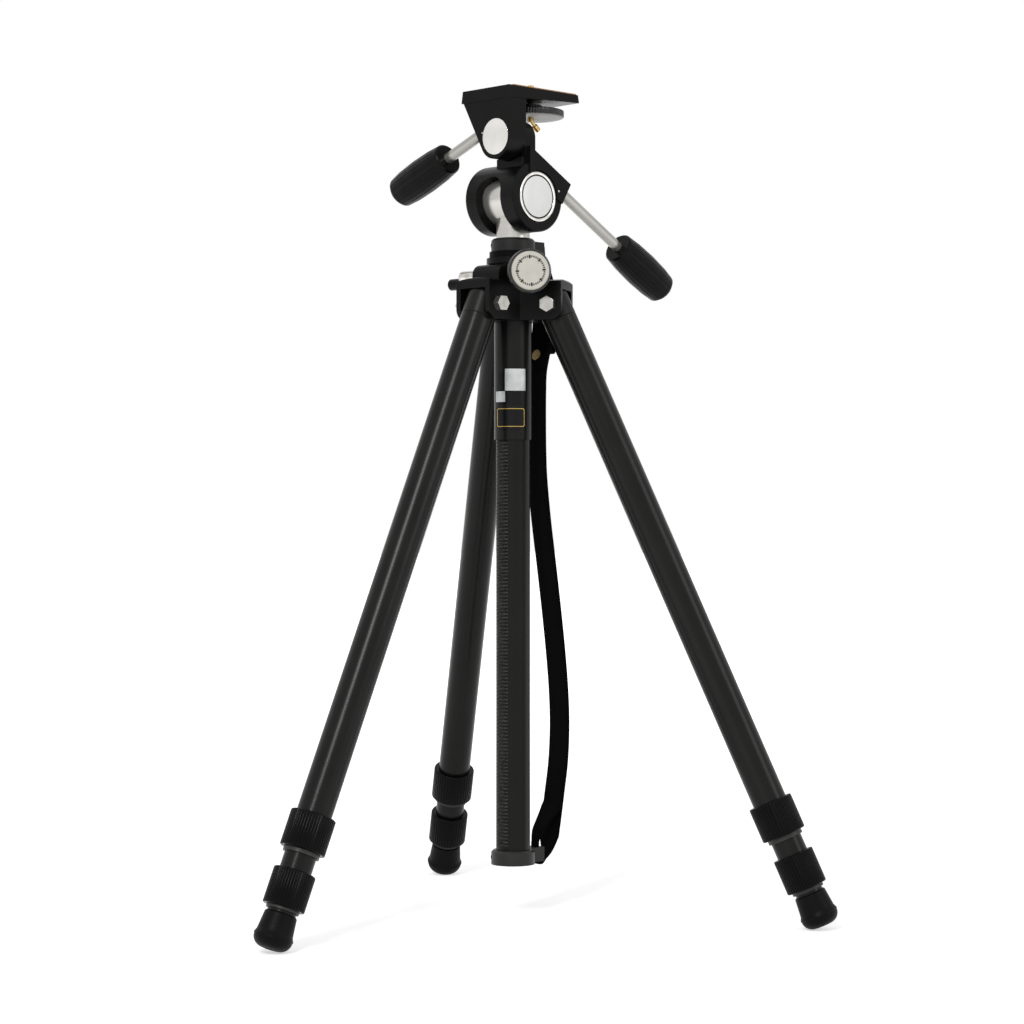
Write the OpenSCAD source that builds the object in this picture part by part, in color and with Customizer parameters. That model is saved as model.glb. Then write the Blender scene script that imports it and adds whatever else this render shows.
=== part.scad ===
// Photographic tripod: three telescopic legs, geared centre column, three-way head.
// Millimetres. The column's axis is x = y = 0, the floor is z = 0, +Z is up and -Y is
// the front, the way a camera on the platform looks.

/* [Legs] */
// Angle of an open leg from the vertical
leg_spread = 24; // [20:0.5:28]
// Distance of a leg hinge from the column's axis
hinge_r = 35.9; // [35.5:0.1:40]
// Length from the leg hinge to the centre of the foot's rounding
leg_len = 551; // [500:1:640]
// Outer diameter of the top leg tube
leg_tube_d = 28.6; // [27:0.1:28.8]
// Wall of every leg tube
leg_wall = 1.2; // [1:0.1:1.6]
// Radial clearance between nested leg tubes
nest_gap = 0.15; // [0.1:0.05:0.3]
// Depth of the fitting pushed over the top of a leg, below its hinge
fitting_drop = 12.6; // [11:0.1:18]
// Length of a leg collar
collar_len = 29.7; // [24:0.1:34]
// Diameter of the upper leg collar
upper_collar_d = 36.8; // [35:0.1:37.2]
// Diameter of the lower leg collar
lower_collar_d = 34; // [32.5:0.1:35]
// Length of leg between the upper and the lower collar
collar_pitch = 46.7; // [40:0.1:60]
// Height of the smooth lip below a collar
lip_h = 3.4; // [2:0.1:5]
// Length of leg that each extending section keeps inside the one above
section_overlap = 44; // [30:1:60]
// Length of each extending section's slide
leg_travel = 380; // [200:5:385]
// Length of the rubber foot's skirt
foot_skirt_len = 19.5; // [15:0.5:20]
// Radius of the foot's widest rim
foot_rim_r = 16.1; // [15:0.1:17]
// Radius of the rounding at the foot's end
foot_round_r = 9; // [7:0.5:10]

/* [Spider] */
// Distance between the outer faces of a leg's two cheeks
clevis_w = 40; // [39:0.5:44]
// Thickness of a cheek
cheek_t = 5; // [4:0.1:5.2]
// Reach of the cheeks from the column's axis
cheek_reach = 47; // [46.5:0.5:54]
// Height of the cheeks
cheek_h = 32.3; // [30:0.1:36]
// Height of the leg hinge above the cheeks' lower edge
hinge_rise = 12.8; // [11:0.1:14]
// Rounding of a cheek's lower corner
cheek_corner = 9; // [4:0.5:10]
// Thickness of the web that stops an open leg
web_t = 6.4; // [5.5:0.1:8]
// How far the top of a clevis arches up in its middle
web_crown = 2.4; // [0.5:0.1:4]
// Diameter of the hinge bolts
hinge_bolt_d = 6; // [5:0.5:8]
// Width across the flats of the hinge bolts' heads
hinge_hex = 11.6; // [10:0.2:13]
// Height of a hinge bolt's head
hinge_head_h = 6; // [3:0.5:7]
// Diameter of the flange at the top of the spider
flange_d = 44.8; // [43:0.1:48]
// Height of the flange
flange_h = 5; // [3:0.5:6]
// Height of the flange's top above the cheeks
flange_rise = 21; // [19:0.5:24]
// Outer diameter of the gear housing across the front
gear_case_d = 18.4; // [17.8:0.2:22]
// Left end of the gear housing from the column's axis
gear_case_left = 20; // [17:0.5:28]
// Right end of the gear housing from the column's axis
gear_case_right = 12; // [11.5:0.5:16]
// Height of the pinion's axis above the cheeks
gear_rise = 6.3; // [4:0.1:7]

/* [Column] */
// Outer diameter of the centre column
column_d = 28.7; // [28.3:0.1:29]
// Wall of the centre column
column_wall = 2.5; // [2.3:0.1:3.5]
// Length of the column below its top collar
column_len = 517; // [460:1:560]
// Travel of the geared column
column_travel = 330; // [200:5:335]
// Running clearance of shafts and sliding fits, radial
run_gap = 0.05; // [0.03:0.01:0.08]
// Diameter of the guide sleeve below the spider
sleeve_d = 31.9; // [31.5:0.1:33]
// Length of sleeve showing below the spider
sleeve_drop = 99.7; // [80:0.5:130]
// Diameter of the column's top collar and bottom cap
ring_d = 37; // [35:0.5:38]
// Height of the column's top collar
top_collar_h = 11; // [8:0.5:13]
// Height of the column's bottom cap
cap_h = 12.1; // [9:0.1:15]
// Diameter of the black bush flange below the top collar
bush_d = 40; // [38:0.5:42]
// Height of the bush flange
bush_h = 5.5; // [4:0.1:8]
// Reach of the strap lugs behind the column's axis
lug_reach = 31.5; // [31:0.5:34]
// Width of a strap lug
lug_w = 12; // [11:0.5:14]
// Pitch of the column's rack teeth
rack_pitch = 3; // [2.8:0.1:3.2]
// Depth of the column's rack teeth
rack_depth = 1.8; // [1.6:0.1:1.9]
// Number of teeth on the pinion
pinion_teeth = 12; // [11:1:14]

/* [Crank and lock knob] */
// Length of pinion shaft outside the gear housing
crank_hub_len = 21; // [12:0.5:24]
// Diameter of the crank's hub
crank_hub_d = 11; // [9:0.5:12]
// Distance of the crank grip from the pinion's axis
crank_throw = 20; // [18:0.5:24]
// How far the crank arm leans outward
crank_lean = 15; // [14:0.5:20]
// Angle of the crank arm below the rear horizontal
crank_angle = 7; // [0:1:60]
// Length of the crank grip
crank_grip_len = 22.5; // [18:0.5:34]
// Diameter of the crank grip
crank_grip_d = 10; // [8:0.5:11]
// Direction of the lock knob
knob_azimuth = -30; // [-32:1:-28]
// Height of the lock knob's axis above the cheeks
knob_rise = 6; // [5:0.5:8]
// Diameter of the lock knob's rim
knob_d = 36.8; // [30:0.2:38]
// Thickness of the lock knob
knob_t = 9; // [7:0.5:12]
// Outer face of the lock knob from the column's axis
knob_reach = 58.5; // [56:0.5:64]
// Diameter of the lock knob's pale face
knob_face_d = 32.2; // [26:0.2:33]

/* [Head] */
// Height of the tilt axis above the column's top collar
tilt_rise = 33.5; // [32:0.5:40]
// Diameter of the silver stem
stem_d = 28.5; // [26:0.1:28.6]
// Diameter of the silver tilt drum
drum_d = 43; // [41:0.2:43.4]
// Outer diameter of the tilt housing
housing_d = 58.8; // [55:0.2:60]
// Length of the tilt housing
housing_len = 59.2; // [58:0.2:66]
// Direction of the slot's round front end above the front horizontal
slot_front = 6; // [4:0.5:8]
// Furthest tilt towards the rear
tilt_back = 30; // [20:1:32]
// Diameter of the ring in the tilt housing's end
badge_d = 42; // [38:0.5:42.6]
// Height of the side-tilt axis above the tilt axis
side_rise = 49; // [49:0.2:54]
// Distance of the side-tilt axis to the right of the column
side_x = 11.75; // [10:0.25:12]
// Thickness of the upright that carries the side tilt
upright_t = 12; // [10:0.5:14]
// Half width of the upright
upright_r = 15; // [14:0.25:16]
// How far the tilt handle's boss stands out from the housing's end
boss_proud = 1.2; // [0.8:0.1:1.6]
// Diameter of the side-tilt pin
side_pin_d = 20; // [18:0.5:20.5]
// Diameter of the polished disc on the side-tilt pin
side_disc_d = 30; // [26:0.5:31]

/* [Platform] */
// Width of the camera platform
plate_w = 56; // [54:0.5:62]
// Length of the camera platform
plate_l = 82; // [76:0.5:90]
// Front edge of the platform ahead of the column's axis
plate_front = 32; // [31:0.5:36]
// Depth of the platform's skirt
skirt_h = 10.4; // [8:0.2:12]
// How much shallower the skirt is at its rear end
skirt_taper = 3.6; // [0:0.2:4]
// How far each side of the skirt flares out at its lower edge
skirt_flare = 0.8; // [0.2:0.1:1.5]
// Height of the platform's metal top above the side-tilt axis
plate_rise = 41.7; // [40:0.1:46]
// Thickness of the cork pad
cork_t = 1; // [0.5:0.1:2]
// How far the bracket's round boss sits below the side-tilt axis
boss_drop = 1.2; // [0.6:0.1:1.6]
// Thickness of the bracket under the platform, front to back
bracket_t = 19.8; // [17:0.2:20]
// Distance of the camera screw behind the column's axis
screw_y = 21; // [18:0.5:24]
// Diameter of the camera screw, 1/4 inch
screw_d = 6.35; // [6.35:0.05:9.5]
// Height of the camera screw above the cork
screw_rise = 7; // [4.5:0.5:8]
// Diameter of the knob below the platform
screw_knob_d = 56.6; // [46:0.2:57]
// Thickness of the knob below the platform
screw_knob_t = 6.4; // [4:0.2:7]

/* [Handles] */
// Diameter of both handle rods
rod_d = 9.4; // [7:0.1:10]
// Angle of the tilt handle below the horizontal
tilt_handle_drop = 30.3; // [28:0.5:34]
// Distance of the tilt handle's line from the tilt axis
tilt_handle_off = 23.6; // [23:0.1:24.5]
// Distance of the tilt handle to the right of the column
tilt_handle_x = 22; // [21:0.25:22.5]
// Length from the tilt axis to the tilt handle's grip
tilt_grip_at = 108.3; // [80:0.1:130]
// Angle of the side handle below the horizontal
side_handle_drop = 21.4; // [20:0.5:24]
// Distance of the side handle's line from the side-tilt axis
side_handle_off = 14.9; // [14.5:0.1:17]
// Length from the side-tilt axis to the side handle's grip
side_grip_at = 67.5; // [60:0.5:100]
// Length of a handle grip
grip_len = 66.7; // [50:0.1:90]
// Diameter of a handle grip at its ends
grip_end_d = 27; // [18:0.2:28]
// Diameter of a handle grip at its middle
grip_mid_d = 31; // [26.2:0.2:33]

/* [Strap] */
// Width of the carrying strap
strap_w = 23; // [18:0.5:24]
// Thickness of the carrying strap
strap_t = 2.3; // [1.6:0.1:2.4]
// Width of the strap's ends where they pass the lugs
strap_end_w = 8; // [6:0.5:8.5]

/* [Hidden] */
$fn = 64;
EPS = 0.01;
BLACK = "#262624";
GREY = "#3a3a38";
RUBBER = "#1c1c1b";
SILVER = "#c9c7c1";
PALE = "#c8c6bc";
BRASS = "#c9a44c";
CORK = "#b98a5a";

// Legs: s is the distance from the hinge down the leg.
LEG_NAMES = ["front", "right", "left"];
LEG_AZIMUTHS = [-90, 30, 150];
leg_r = leg_tube_d / 2;
upper_bore_r = leg_r - leg_wall;
mid_r = upper_bore_r - nest_gap;
mid_bore_r = mid_r - leg_wall;
lower_r = mid_bore_r - nest_gap;
foot_top_s = leg_len - foot_skirt_len;
lip_gap = 2.2;
lower_lip_s = foot_top_s - lip_gap;
lower_lip_h = 2.4;
lower_collar_s2 = lower_lip_s - lower_lip_h;
lower_collar_s1 = lower_collar_s2 - collar_len;
upper_collar_s1 = lower_collar_s1 - collar_pitch;
upper_collar_s2 = upper_collar_s1 + collar_len;
upper_lip_s = upper_collar_s2 + lip_h;
tube_end_in = 3;
upper_tube_s2 = upper_collar_s2 - tube_end_in;
mid_tube_s2 = lower_collar_s2 - tube_end_in;
plug_len = 20;
edge_cut = 0.4;
nest_room = 2;
mid_tube_s1 = max(fitting_drop + plug_len + nest_room, upper_tube_s2 - section_overlap - leg_travel);
lower_tube_s1 = max(mid_tube_s1 + nest_room, mid_tube_s2 - section_overlap - leg_travel);
lip_proud = 0.45;
collet_inset = 0.3;
collar_chamfer = 0.8;
collar_bore_gap = 0.1;
foot_top_r = 13.1;
foot_bottom_r = foot_rim_r - 1.5;
foot_groove = 0.5;
foot_round_off = foot_rim_r - foot_groove - foot_round_r;
foot_rim_h = 0.6;
foot_flare_h = 4;
foot_edge = 1;
foot_chamfer = 0.8;
hinge_z = leg_len * cos(leg_spread) + foot_round_off * sin(leg_spread) + foot_round_r;

// Spider
cheek_z0 = hinge_z - hinge_rise;
cheek_z1 = cheek_z0 + cheek_h;
web_z = cheek_z1 - web_t;
stop_gap = 0.2;
fitting_top = web_z - stop_gap - hinge_z;
cheek_nose = 3.5;
hub_r = 20.8;
clevis_base = hinge_r - leg_r - 0.4;
flange_z1 = cheek_z1 + flange_rise;
flange_z0 = flange_z1 - flange_h;
hinge_bolt_r = hinge_bolt_d / 2;
bolt_proud = 1.5;
HEAD_SIDES = [1, -1, -1];
HEX_TURNS = [0, 30, 0];
seat_gap = 0.2;

// Column
column_r = column_d / 2;
sleeve_r = sleeve_d / 2;
fit_gap = 0.03;
sleeve_z0 = cheek_z0 - sleeve_drop;
sleeve_z1 = cheek_z1 - 8;
// Each label's distance below the sleeve's top, and its height
LABELS = [[67, 28], [99, 17]];
label_t = 0.4;
label_azimuth = -47;
label_half = 13.4;
bush_z1 = flange_z1 + bush_h;
bush_spigot_r = 17.5;
bush_spigot_len = 8;
column_z1 = bush_z1 + seat_gap;
collar_z1 = column_z1 + top_collar_h;
cap_z0 = column_z1 - column_len;
cap_z1 = cap_z0 + cap_h;
cap_floor = 2;
ring_chamfer = 1.8;
collar_screw_r = 1.6;
collar_screw_proud = 0.3;
COLLAR_SCREW_AZIMUTHS = [-128, 180];
lug_slot_y = 24.4;
lug_slot_w = 3.6;
lug_slot_len = strap_end_w + 0.8;
lug_top = collar_z1 - 1;
lug_bar_z = lug_top - 4.4;
channel_w = strap_w + 1.8;
channel_y = 26;

// Rack and pinion
pinion_r = pinion_teeth * rack_pitch / (2 * PI);
rack_pitch_y = column_r - 0.85;
pinion_y = -(rack_pitch_y + pinion_r);
pinion_z = cheek_z1 + gear_rise;
tooth_add = 0.75;
tooth_ded = 1.05;
rack_gap_root = 0.5;
rack_gap_tip = 1.25;
pinion_len = 12;
pinion_cavity_r = pinion_r + tooth_add + 0.4;
pinion_cavity_len = pinion_len + 1.5;
shaft_r = 4;
bush_ring_r = 5.5;
crank_x = -(gear_case_left + crank_hub_len);
crank_arm_t = 4;
crank_pin_r = 2.5;
crank_grip_gap = 0.4;

// Lock knob: u is the distance from the column's axis along the knob's direction.
knob_z = cheek_z1 + knob_rise;
knob_boss_r = 9;
knob_gap = 1;
knob_back = knob_reach - knob_t;
knob_boss_u = knob_back - knob_gap;
lock_screw_r = 4;
shoe_r = 5;
shoe_len = 4;
knob_chamfer = 0.6;
face_depth = 3;
face_chamfer = 0.8;
face_edge = 2.2;
screw_depth = 4;

// Head
tilt_z = collar_z1 + tilt_rise;
stem_r = stem_d / 2;
drum_r = drum_d / 2;
housing_r = housing_d / 2;
housing_half = housing_len / 2;
housing_round = 4;
housing_chamfer = 1.2;
slot_half = stem_r + 0.35;
slot_end_r = slot_half - 0.05;
slot_rear = 90 + tilt_back + 2;
badge_t = 4;
drum_end_gap = 2.1;
drum_half = housing_half - badge_t - drum_end_gap;
badge_proud = 0.6;
badge_disc_r = 17.2;
badge_disc_t = 2;
badge_recess = 0.4;
counterbore_r = drum_r + run_gap + 0.5;
counterbore_depth = 0.3;
spigot_r = 6;
spigot_len = 18;
spigot_plug_len = 16;
side_pin_r = side_pin_d / 2;
side_disc_r = side_disc_d / 2;
side_disc_t = 3;
side_stub_r = 7;
boss_shift = 1.05;
bracket_x = side_x - boss_shift;
bracket_r = plate_w / 2 - bracket_x;
bracket_sweep = bracket_r + norm([boss_shift, boss_drop]);
sweep_gap = 0.3;
side_z = tilt_z + max(side_rise, housing_r + sweep_gap + bracket_sweep);
bracket_y0 = -plate_front;
bracket_y1 = bracket_y0 + bracket_t;
upright_y0 = bracket_y1 + seat_gap;
upright_y1 = upright_y0 + upright_t;
pad_front = upright_y0 - 4;
pad_top = side_z - bracket_sweep - sweep_gap;
saddle_rise = 2.6;
handle_boss_top = 31;
handle_boss_foot = 11;
handle_boss_end = 26.5;
handle_boss_front = upright_y0 + 2;
set_screw_r = 0.9;
set_screw_len = 3;
set_screw_at = [17.6, 17.7];
rod_r = rod_d / 2;
rod_inset = 13;
rod_bore_end = 60;
grip_bore_len = 55;
grip_chamfer = 1.2;
grip_dome = 3;
grip_shoulder = 0.4;
// A flat side meets a round end just inside its tangent, so that the two cross cleanly
meet_share = cos(3);

// Platform
plate_z1 = side_z + plate_rise;
plate_z0 = plate_z1 - skirt_h;
plate_back = plate_l - plate_front;
screw_knob_gap = 3;
knob_top_z = plate_z0 - screw_knob_gap;
under_screw_z = plate_z0 + skirt_taper * (plate_front + screw_y) / plate_l;
knob_bot_z = knob_top_z - screw_knob_t;
screw_r = screw_d / 2;
screw_collar_r = 9.5;
screw_neck_r = screw_r - 0.6;
screw_room = 0.3;
screw_stub = 3.4;
screw_taper = 0.8;
screw_collar_gap = 0.8;
lever_angle = 130;
lever_r = 1.4;
lever_len = 10.5;
lever_tip_r = 2.4;
lever_tip_len = 5.5;
cork_inset = 1;
cork_front_inset = 7;
cork_room = 1;

// Strap: its middle as [distance behind the axis, share of the way from cap to collar]
STRAP_BACK = [
    [44.5, 0.03], [50, 0.09], [54.2, 0.14], [56, 0.2], [54.8, 0.26], [51, 0.33],
    [46, 0.4], [40, 0.475], [33, 0.56], [28.8, 0.63], [27.8, 0.68], [27.7, 0.76],
    [28.6, 0.8], [31.6, 0.825], [35.2, 0.85], [37.4, 0.885], [38, 0.92], [36.6, 0.97]
];
wrap_r = lug_slot_w / 2;
slot_mid_y = lug_slot_y + wrap_r;
slot_out_y = lug_slot_y + lug_slot_w;
strap_top_z = lug_bar_z + wrap_r;
strap_low_z = cap_z0 - wrap_r;
function arc(centre, r, a0, a1) =
    [for (k = [0 : 4]) centre + r * [cos(a0 + k * (a1 - a0) / 4), sin(a0 + k * (a1 - a0) / 4)]];
function back_z(share) = cap_z1 + share * (column_z1 - cap_z1);
STRAP_MAIN = concat(
    [[slot_mid_y, cap_z1 + 4]],
    arc([slot_out_y, cap_z0], wrap_r, 180, 270),
    [[lug_reach, strap_low_z], [lug_reach + 3.4, strap_low_z + 3], [lug_reach + 8.4, cap_z1 - 5]],
    [for (p = STRAP_BACK) [p[0], back_z(p[1])]],
    [[lug_reach + wrap_r + 0.3, lug_bar_z - 4]],
    arc([lug_reach, lug_bar_z], wrap_r, 0, 90),
    arc([slot_out_y, lug_bar_z], wrap_r, 90, 180),
    [[slot_mid_y, column_z1 - 2]]);
STRAP_FLAP = [
    [slot_mid_y, cap_z1 - 1], [slot_mid_y + 0.6, cap_z1 + 6], [slot_mid_y + 3.6, cap_z1 + 13.5],
    [36.6, cap_z1 + 21.5], [43.6, cap_z1 + 29.5], [48.2, cap_z1 + 36]];
STRAP_INNER = [
    [slot_mid_y, column_z1 + 1], [slot_mid_y + 0.5, column_z1 - 4],
    [33.2, back_z(0.955)], [35.7, back_z(0.92)], [35.2, back_z(0.885)],
    [33, back_z(0.85)], [29.4, back_z(0.825)], [27.2, back_z(0.808)]];
STRAP_CURL = [
    [38.8, back_z(0.875)], [39.4, back_z(0.845)], [38.4, back_z(0.834)], [36, back_z(0.835)],
    [34.4, back_z(0.845)]];
strap_step = 0.1;
rivet_low = STRAP_INNER[6];
rivet_run = STRAP_INNER[5] - rivet_low;
rivet_share = 0.18;
rivet_y = rivet_low[0] + rivet_share * rivet_run[0];
rivet_z = rivet_low[1] + rivet_share * rivet_run[1];
rivet_tilt = atan(rivet_run[0] / rivet_run[1]);
rivet_r = 4.7;
rivet_head_t = 1.6;

// ---------- helpers ----------

module ring(r_out, r_in, z0, z1) {
    translate([0, 0, z0]) difference() {
        cylinder(r = r_out, h = z1 - z0);
        translate([0, 0, -1]) cylinder(r = r_in, h = z1 - z0 + 2);
    }
}

module rod_z(r, z0, z1) translate([0, 0, z0]) cylinder(r = r, h = z1 - z0);

// A solid turned about Z from a half profile of [radius, height] points
module turned(points) rotate_extrude() polygon(points);

// A cylinder along X between two stations
module along_x(r, x0, x1) translate([x0, 0, 0]) rotate([0, 90, 0]) cylinder(r = r, h = x1 - x0);

// A cylinder along Y between two stations
module along_y(r, y0, y1) translate([0, y0, 0]) rotate([-90, 0, 0]) cylinder(r = r, h = y1 - y0);

// Puts a shape drawn in the plane of Y and Z at a station along X, with a thickness
module slab_x(x0, x1) translate([x0, 0, 0]) rotate([90, 0, 90]) linear_extrude(x1 - x0) children();

// Puts a shape drawn in the plane of X and Z between two stations along Y
module slab_y(y0, y1) translate([0, y1, 0]) rotate([90, 0, 0]) linear_extrude(y1 - y0) children();

// The band of a strap: a polygon of even thickness about a line of points
function unit(v) = v / norm(v);
function heading(p, i) = unit(
    (i == 0 ? p[1] - p[0] : unit(p[i] - p[i - 1]))
    + (i == len(p) - 1 ? p[i] - p[i - 1] : i == 0 ? [0, 0] : unit(p[i + 1] - p[i])));
function side_point(p, i, d) = p[i] + d * [-heading(p, i)[1], heading(p, i)[0]];
module band(p, t) polygon(concat(
    [for (i = [0 : len(p) - 1]) side_point(p, i, t / 2)],
    [for (i = [len(p) - 1 : -1 : 0]) side_point(p, i, -t / 2)]));

// ---------- legs ----------

// The frame of one leg: its hinge at the origin, the open leg running down -Z, Y along the hinge
module in_leg(i) rotate([0, 0, LEG_AZIMUTHS[i]]) translate([hinge_r, 0, hinge_z])
    rotate([0, -leg_spread, 0]) children();

module leg_ring(r_out, r_in, s1, s2) ring(r_out, r_in, -s2, -s1);

// Side view of the fitting's head, upright: round behind the hinge, flat where it meets the web
module fitting_head() {
    circle(r = fitting_top);
    translate([0, -leg_r]) square([2 * leg_r, leg_r + fitting_top]);
}

module leg_fitting(i) color(GREY) in_leg(i) difference() {
    plug_r = upper_bore_r - fit_gap;
    union() {
        turned([[0, 0], [leg_r, 0], [leg_r, edge_cut - fitting_drop], [leg_r - edge_cut, -fitting_drop],
            [plug_r, -fitting_drop], [plug_r, -fitting_drop - plug_len], [0, -fitting_drop - plug_len]]);
        intersection() {
            rod_z(leg_r, -1, 2 * leg_r);
            rotate([0, leg_spread, 0]) slab_y(-leg_r, leg_r) fitting_head();
        }
    }
    along_y(hinge_bolt_r + run_gap, -2 * leg_r, 2 * leg_r);
}

module upper_tube(i) color(GREY) in_leg(i) turned([
    [upper_bore_r, -fitting_drop], [leg_r - edge_cut, -fitting_drop],
    [leg_r, -fitting_drop - edge_cut], [leg_r, -upper_tube_s2], [upper_bore_r, -upper_tube_s2]]);

// A collet: a split plastic ring inside a collar, its smooth lip showing below
module collet(inner_r, s_end, lip_s, lip, tube_r) {
    leg_ring(tube_r + lip_proud, inner_r + run_gap, lip_s - lip, lip_s);
    leg_ring(tube_r - collet_inset, inner_r + run_gap, s_end, lip_s - lip);
}

module upper_collet(i) color(GREY) in_leg(i)
    collet(mid_r, upper_tube_s2, upper_lip_s, lip_h, leg_r);

module lower_collet(i) color(GREY) in_leg(i)
    collet(lower_r, mid_tube_s2, lower_lip_s, lower_lip_h, mid_r);

// A collar: a barrel that turns on the tube's end and squeezes the collet
module collar(outer_r, tube_r, s1, s2) turned([
    [tube_r + collar_bore_gap, -s1], [outer_r - collar_chamfer, -s1], [outer_r, -s1 - collar_chamfer],
    [outer_r, -s2 + collar_chamfer], [outer_r - collar_chamfer, -s2], [tube_r + collar_bore_gap, -s2]]);

module upper_collar(i) color(BLACK) in_leg(i)
    collar(upper_collar_d / 2, leg_r, upper_collar_s1, upper_collar_s2 - collar_bore_gap);

module lower_collar(i) color(BLACK) in_leg(i)
    collar(lower_collar_d / 2, mid_r, lower_collar_s1, lower_collar_s2 - collar_bore_gap);

module mid_tube(i) color(GREY) in_leg(i) leg_ring(mid_r, mid_bore_r, mid_tube_s1, mid_tube_s2);

module lower_tube(i) color(GREY) in_leg(i)
    leg_ring(lower_r, lower_r - leg_wall, lower_tube_s1, leg_len - foot_flare_h);

// The rubber foot: a flared skirt on the tube's end, then a rounded tread with three grooves
module rubber_foot(i) color(RUBBER) in_leg(i) translate([0, 0, -leg_len]) difference() {
    rotate_extrude() union() {
        polygon([[0, -foot_round_r], [foot_round_off, -foot_round_r], [foot_round_off, 0],
            [foot_rim_r - foot_groove, 0], [foot_rim_r, foot_rim_h], [foot_bottom_r, foot_flare_h],
            [foot_top_r, foot_skirt_len - foot_edge], [foot_top_r - foot_chamfer, foot_skirt_len],
            [0, foot_skirt_len]]);
        intersection() {
            translate([foot_round_off, 0]) circle(r = foot_round_r);
            translate([0, -foot_round_r]) square([foot_rim_r + 1, foot_round_r + EPS]);
        }
    }
    rod_z(lower_r + fit_gap, foot_flare_h - fit_gap, foot_skirt_len + 1);
    for (k = [1 : 3]) ring(k * 2, k * 2 - 1, -foot_round_r - 1, -foot_round_r + foot_groove);
}

// ---------- spider ----------

// Side view of one cheek, from the column outwards, its lower outer corner rounded
module cheek_side() {
    top = cheek_z1 + web_crown;
    translate([cheek_reach - cheek_corner, cheek_z0 + cheek_corner]) circle(r = cheek_corner);
    translate([cheek_reach - cheek_nose, top - cheek_nose]) circle(r = cheek_nose);
    translate([0, cheek_z0]) square([cheek_reach - cheek_corner, top - cheek_z0]);
    translate([0, cheek_z0 + cheek_corner])
        square([cheek_reach, top - cheek_z0 - cheek_corner - cheek_nose]);
    translate([0, top - cheek_nose - 1]) square([cheek_reach - cheek_nose, cheek_nose + 1]);
}

// Seen along a leg's radius: flat sides and a slightly arched top
crown_r = (pow(clevis_w / 2, 2) + pow(web_crown, 2)) / (2 * web_crown);
module clevis_end() intersection() {
    translate([0, cheek_z1 + web_crown - crown_r]) circle(r = crown_r, $fn = 180);
    translate([-clevis_w / 2, cheek_z0]) square([clevis_w, cheek_h + web_crown]);
}

module clevis() intersection() {
    slab_y(-clevis_w / 2, clevis_w / 2) cheek_side();
    slab_x(0, cheek_reach) clevis_end();
}

module clevis_room() {
    inner = clevis_w - 2 * cheek_t;
    translate([clevis_base, -inner / 2, cheek_z0 - 1]) cube([cheek_reach, inner, web_z - cheek_z0 + 1]);
    translate([hinge_r, 0, hinge_z]) along_y(hinge_bolt_r + fit_gap, -clevis_w, clevis_w);
}

module in_knob() translate([0, 0, knob_z]) rotate([0, 0, knob_azimuth]) children();

module in_pinion() translate([0, pinion_y, pinion_z]) children();

module spider_casting() color(BLACK) difference() {
    union() {
        rod_z(hub_r, cheek_z0, flange_z0);
        rod_z(flange_d / 2, flange_z0, flange_z1);
        for (a = LEG_AZIMUTHS) rotate([0, 0, a]) clevis();
        in_pinion() along_x(gear_case_d / 2, -gear_case_left, gear_case_right);
        translate([-gear_case_left, pinion_y - gear_case_d / 2, cheek_z1 - 1])
            cube([gear_case_left + gear_case_right, gear_case_d, gear_rise + 1]);
        in_knob() along_x(knob_boss_r, 0, knob_boss_u);
    }
    for (a = LEG_AZIMUTHS) rotate([0, 0, a]) clevis_room();
    rod_z(sleeve_r + fit_gap, cheek_z0 - 1, sleeve_z1 + 0.5);
    rod_z(column_r + 0.5, cheek_z0, flange_z1 + 1);
    rod_z(bush_spigot_r + fit_gap, flange_z1 - bush_spigot_len, flange_z1 + 1);
    in_pinion() {
        along_x(pinion_cavity_r, -pinion_cavity_len / 2, pinion_cavity_len / 2);
        along_x(bush_ring_r + fit_gap, -gear_case_left - 1, gear_case_right - 2);
    }
    in_knob() {
        along_x(lock_screw_r + run_gap, 0, knob_boss_u + 1);
        along_x(shoe_r + run_gap, 0, column_r + shoe_len + 1);
    }
    translate([-channel_w / 2, channel_y, cheek_z0 - 1])
        cube([channel_w, cheek_reach, cheek_h + 2]);
}

module guide_sleeve() color(GREY) ring(sleeve_r, column_r + run_gap, sleeve_z0, sleeve_z1);

module top_bush() color(RUBBER) {
    ring(bush_d / 2, column_r + run_gap, flange_z1, bush_z1);
    ring(bush_spigot_r, column_r + run_gap, flange_z1 - bush_spigot_len + fit_gap, flange_z1);
}

// Turns what follows to face the other way along Y when side is -1
module facing(side) rotate([0, 0, side > 0 ? 0 : 180]) children();

// Each hinge bolt's head is on one side of its clevis, and a nut on the other
module hex_head(turn) rotate([-90, turn, 0])
    cylinder(d = hinge_hex / cos(30), h = hinge_head_h, $fn = 6);

module hinge_bolts() color(PALE) for (i = [0 : len(LEG_AZIMUTHS) - 1])
    rotate([0, 0, LEG_AZIMUTHS[i]]) translate([hinge_r, 0, hinge_z])
        facing(HEAD_SIDES[i]) {
            half = clevis_w / 2;
            along_y(hinge_bolt_r, -half - hinge_head_h - bolt_proud, half);
            translate([0, half, 0]) hex_head(HEX_TURNS[i]);
            translate([0, -half, 0]) difference() {
                mirror([0, 1, 0]) hex_head(HEX_TURNS[i]);
                along_y(hinge_bolt_r + fit_gap, -hinge_head_h - 1, 1);
            }
        }

// Two bare plates stuck on the sleeve, one above the other
module label_plates() color(BLACK) for (p = LABELS)
    intersection() {
        ring(sleeve_r + label_t, sleeve_r + fit_gap, sleeve_z1 - p[0] - p[1], sleeve_z1 - p[0]);
        rotate([0, 0, label_azimuth]) translate([0, -label_half, 0]) cube([sleeve_d, 2 * label_half, 1000]);
    }

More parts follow.
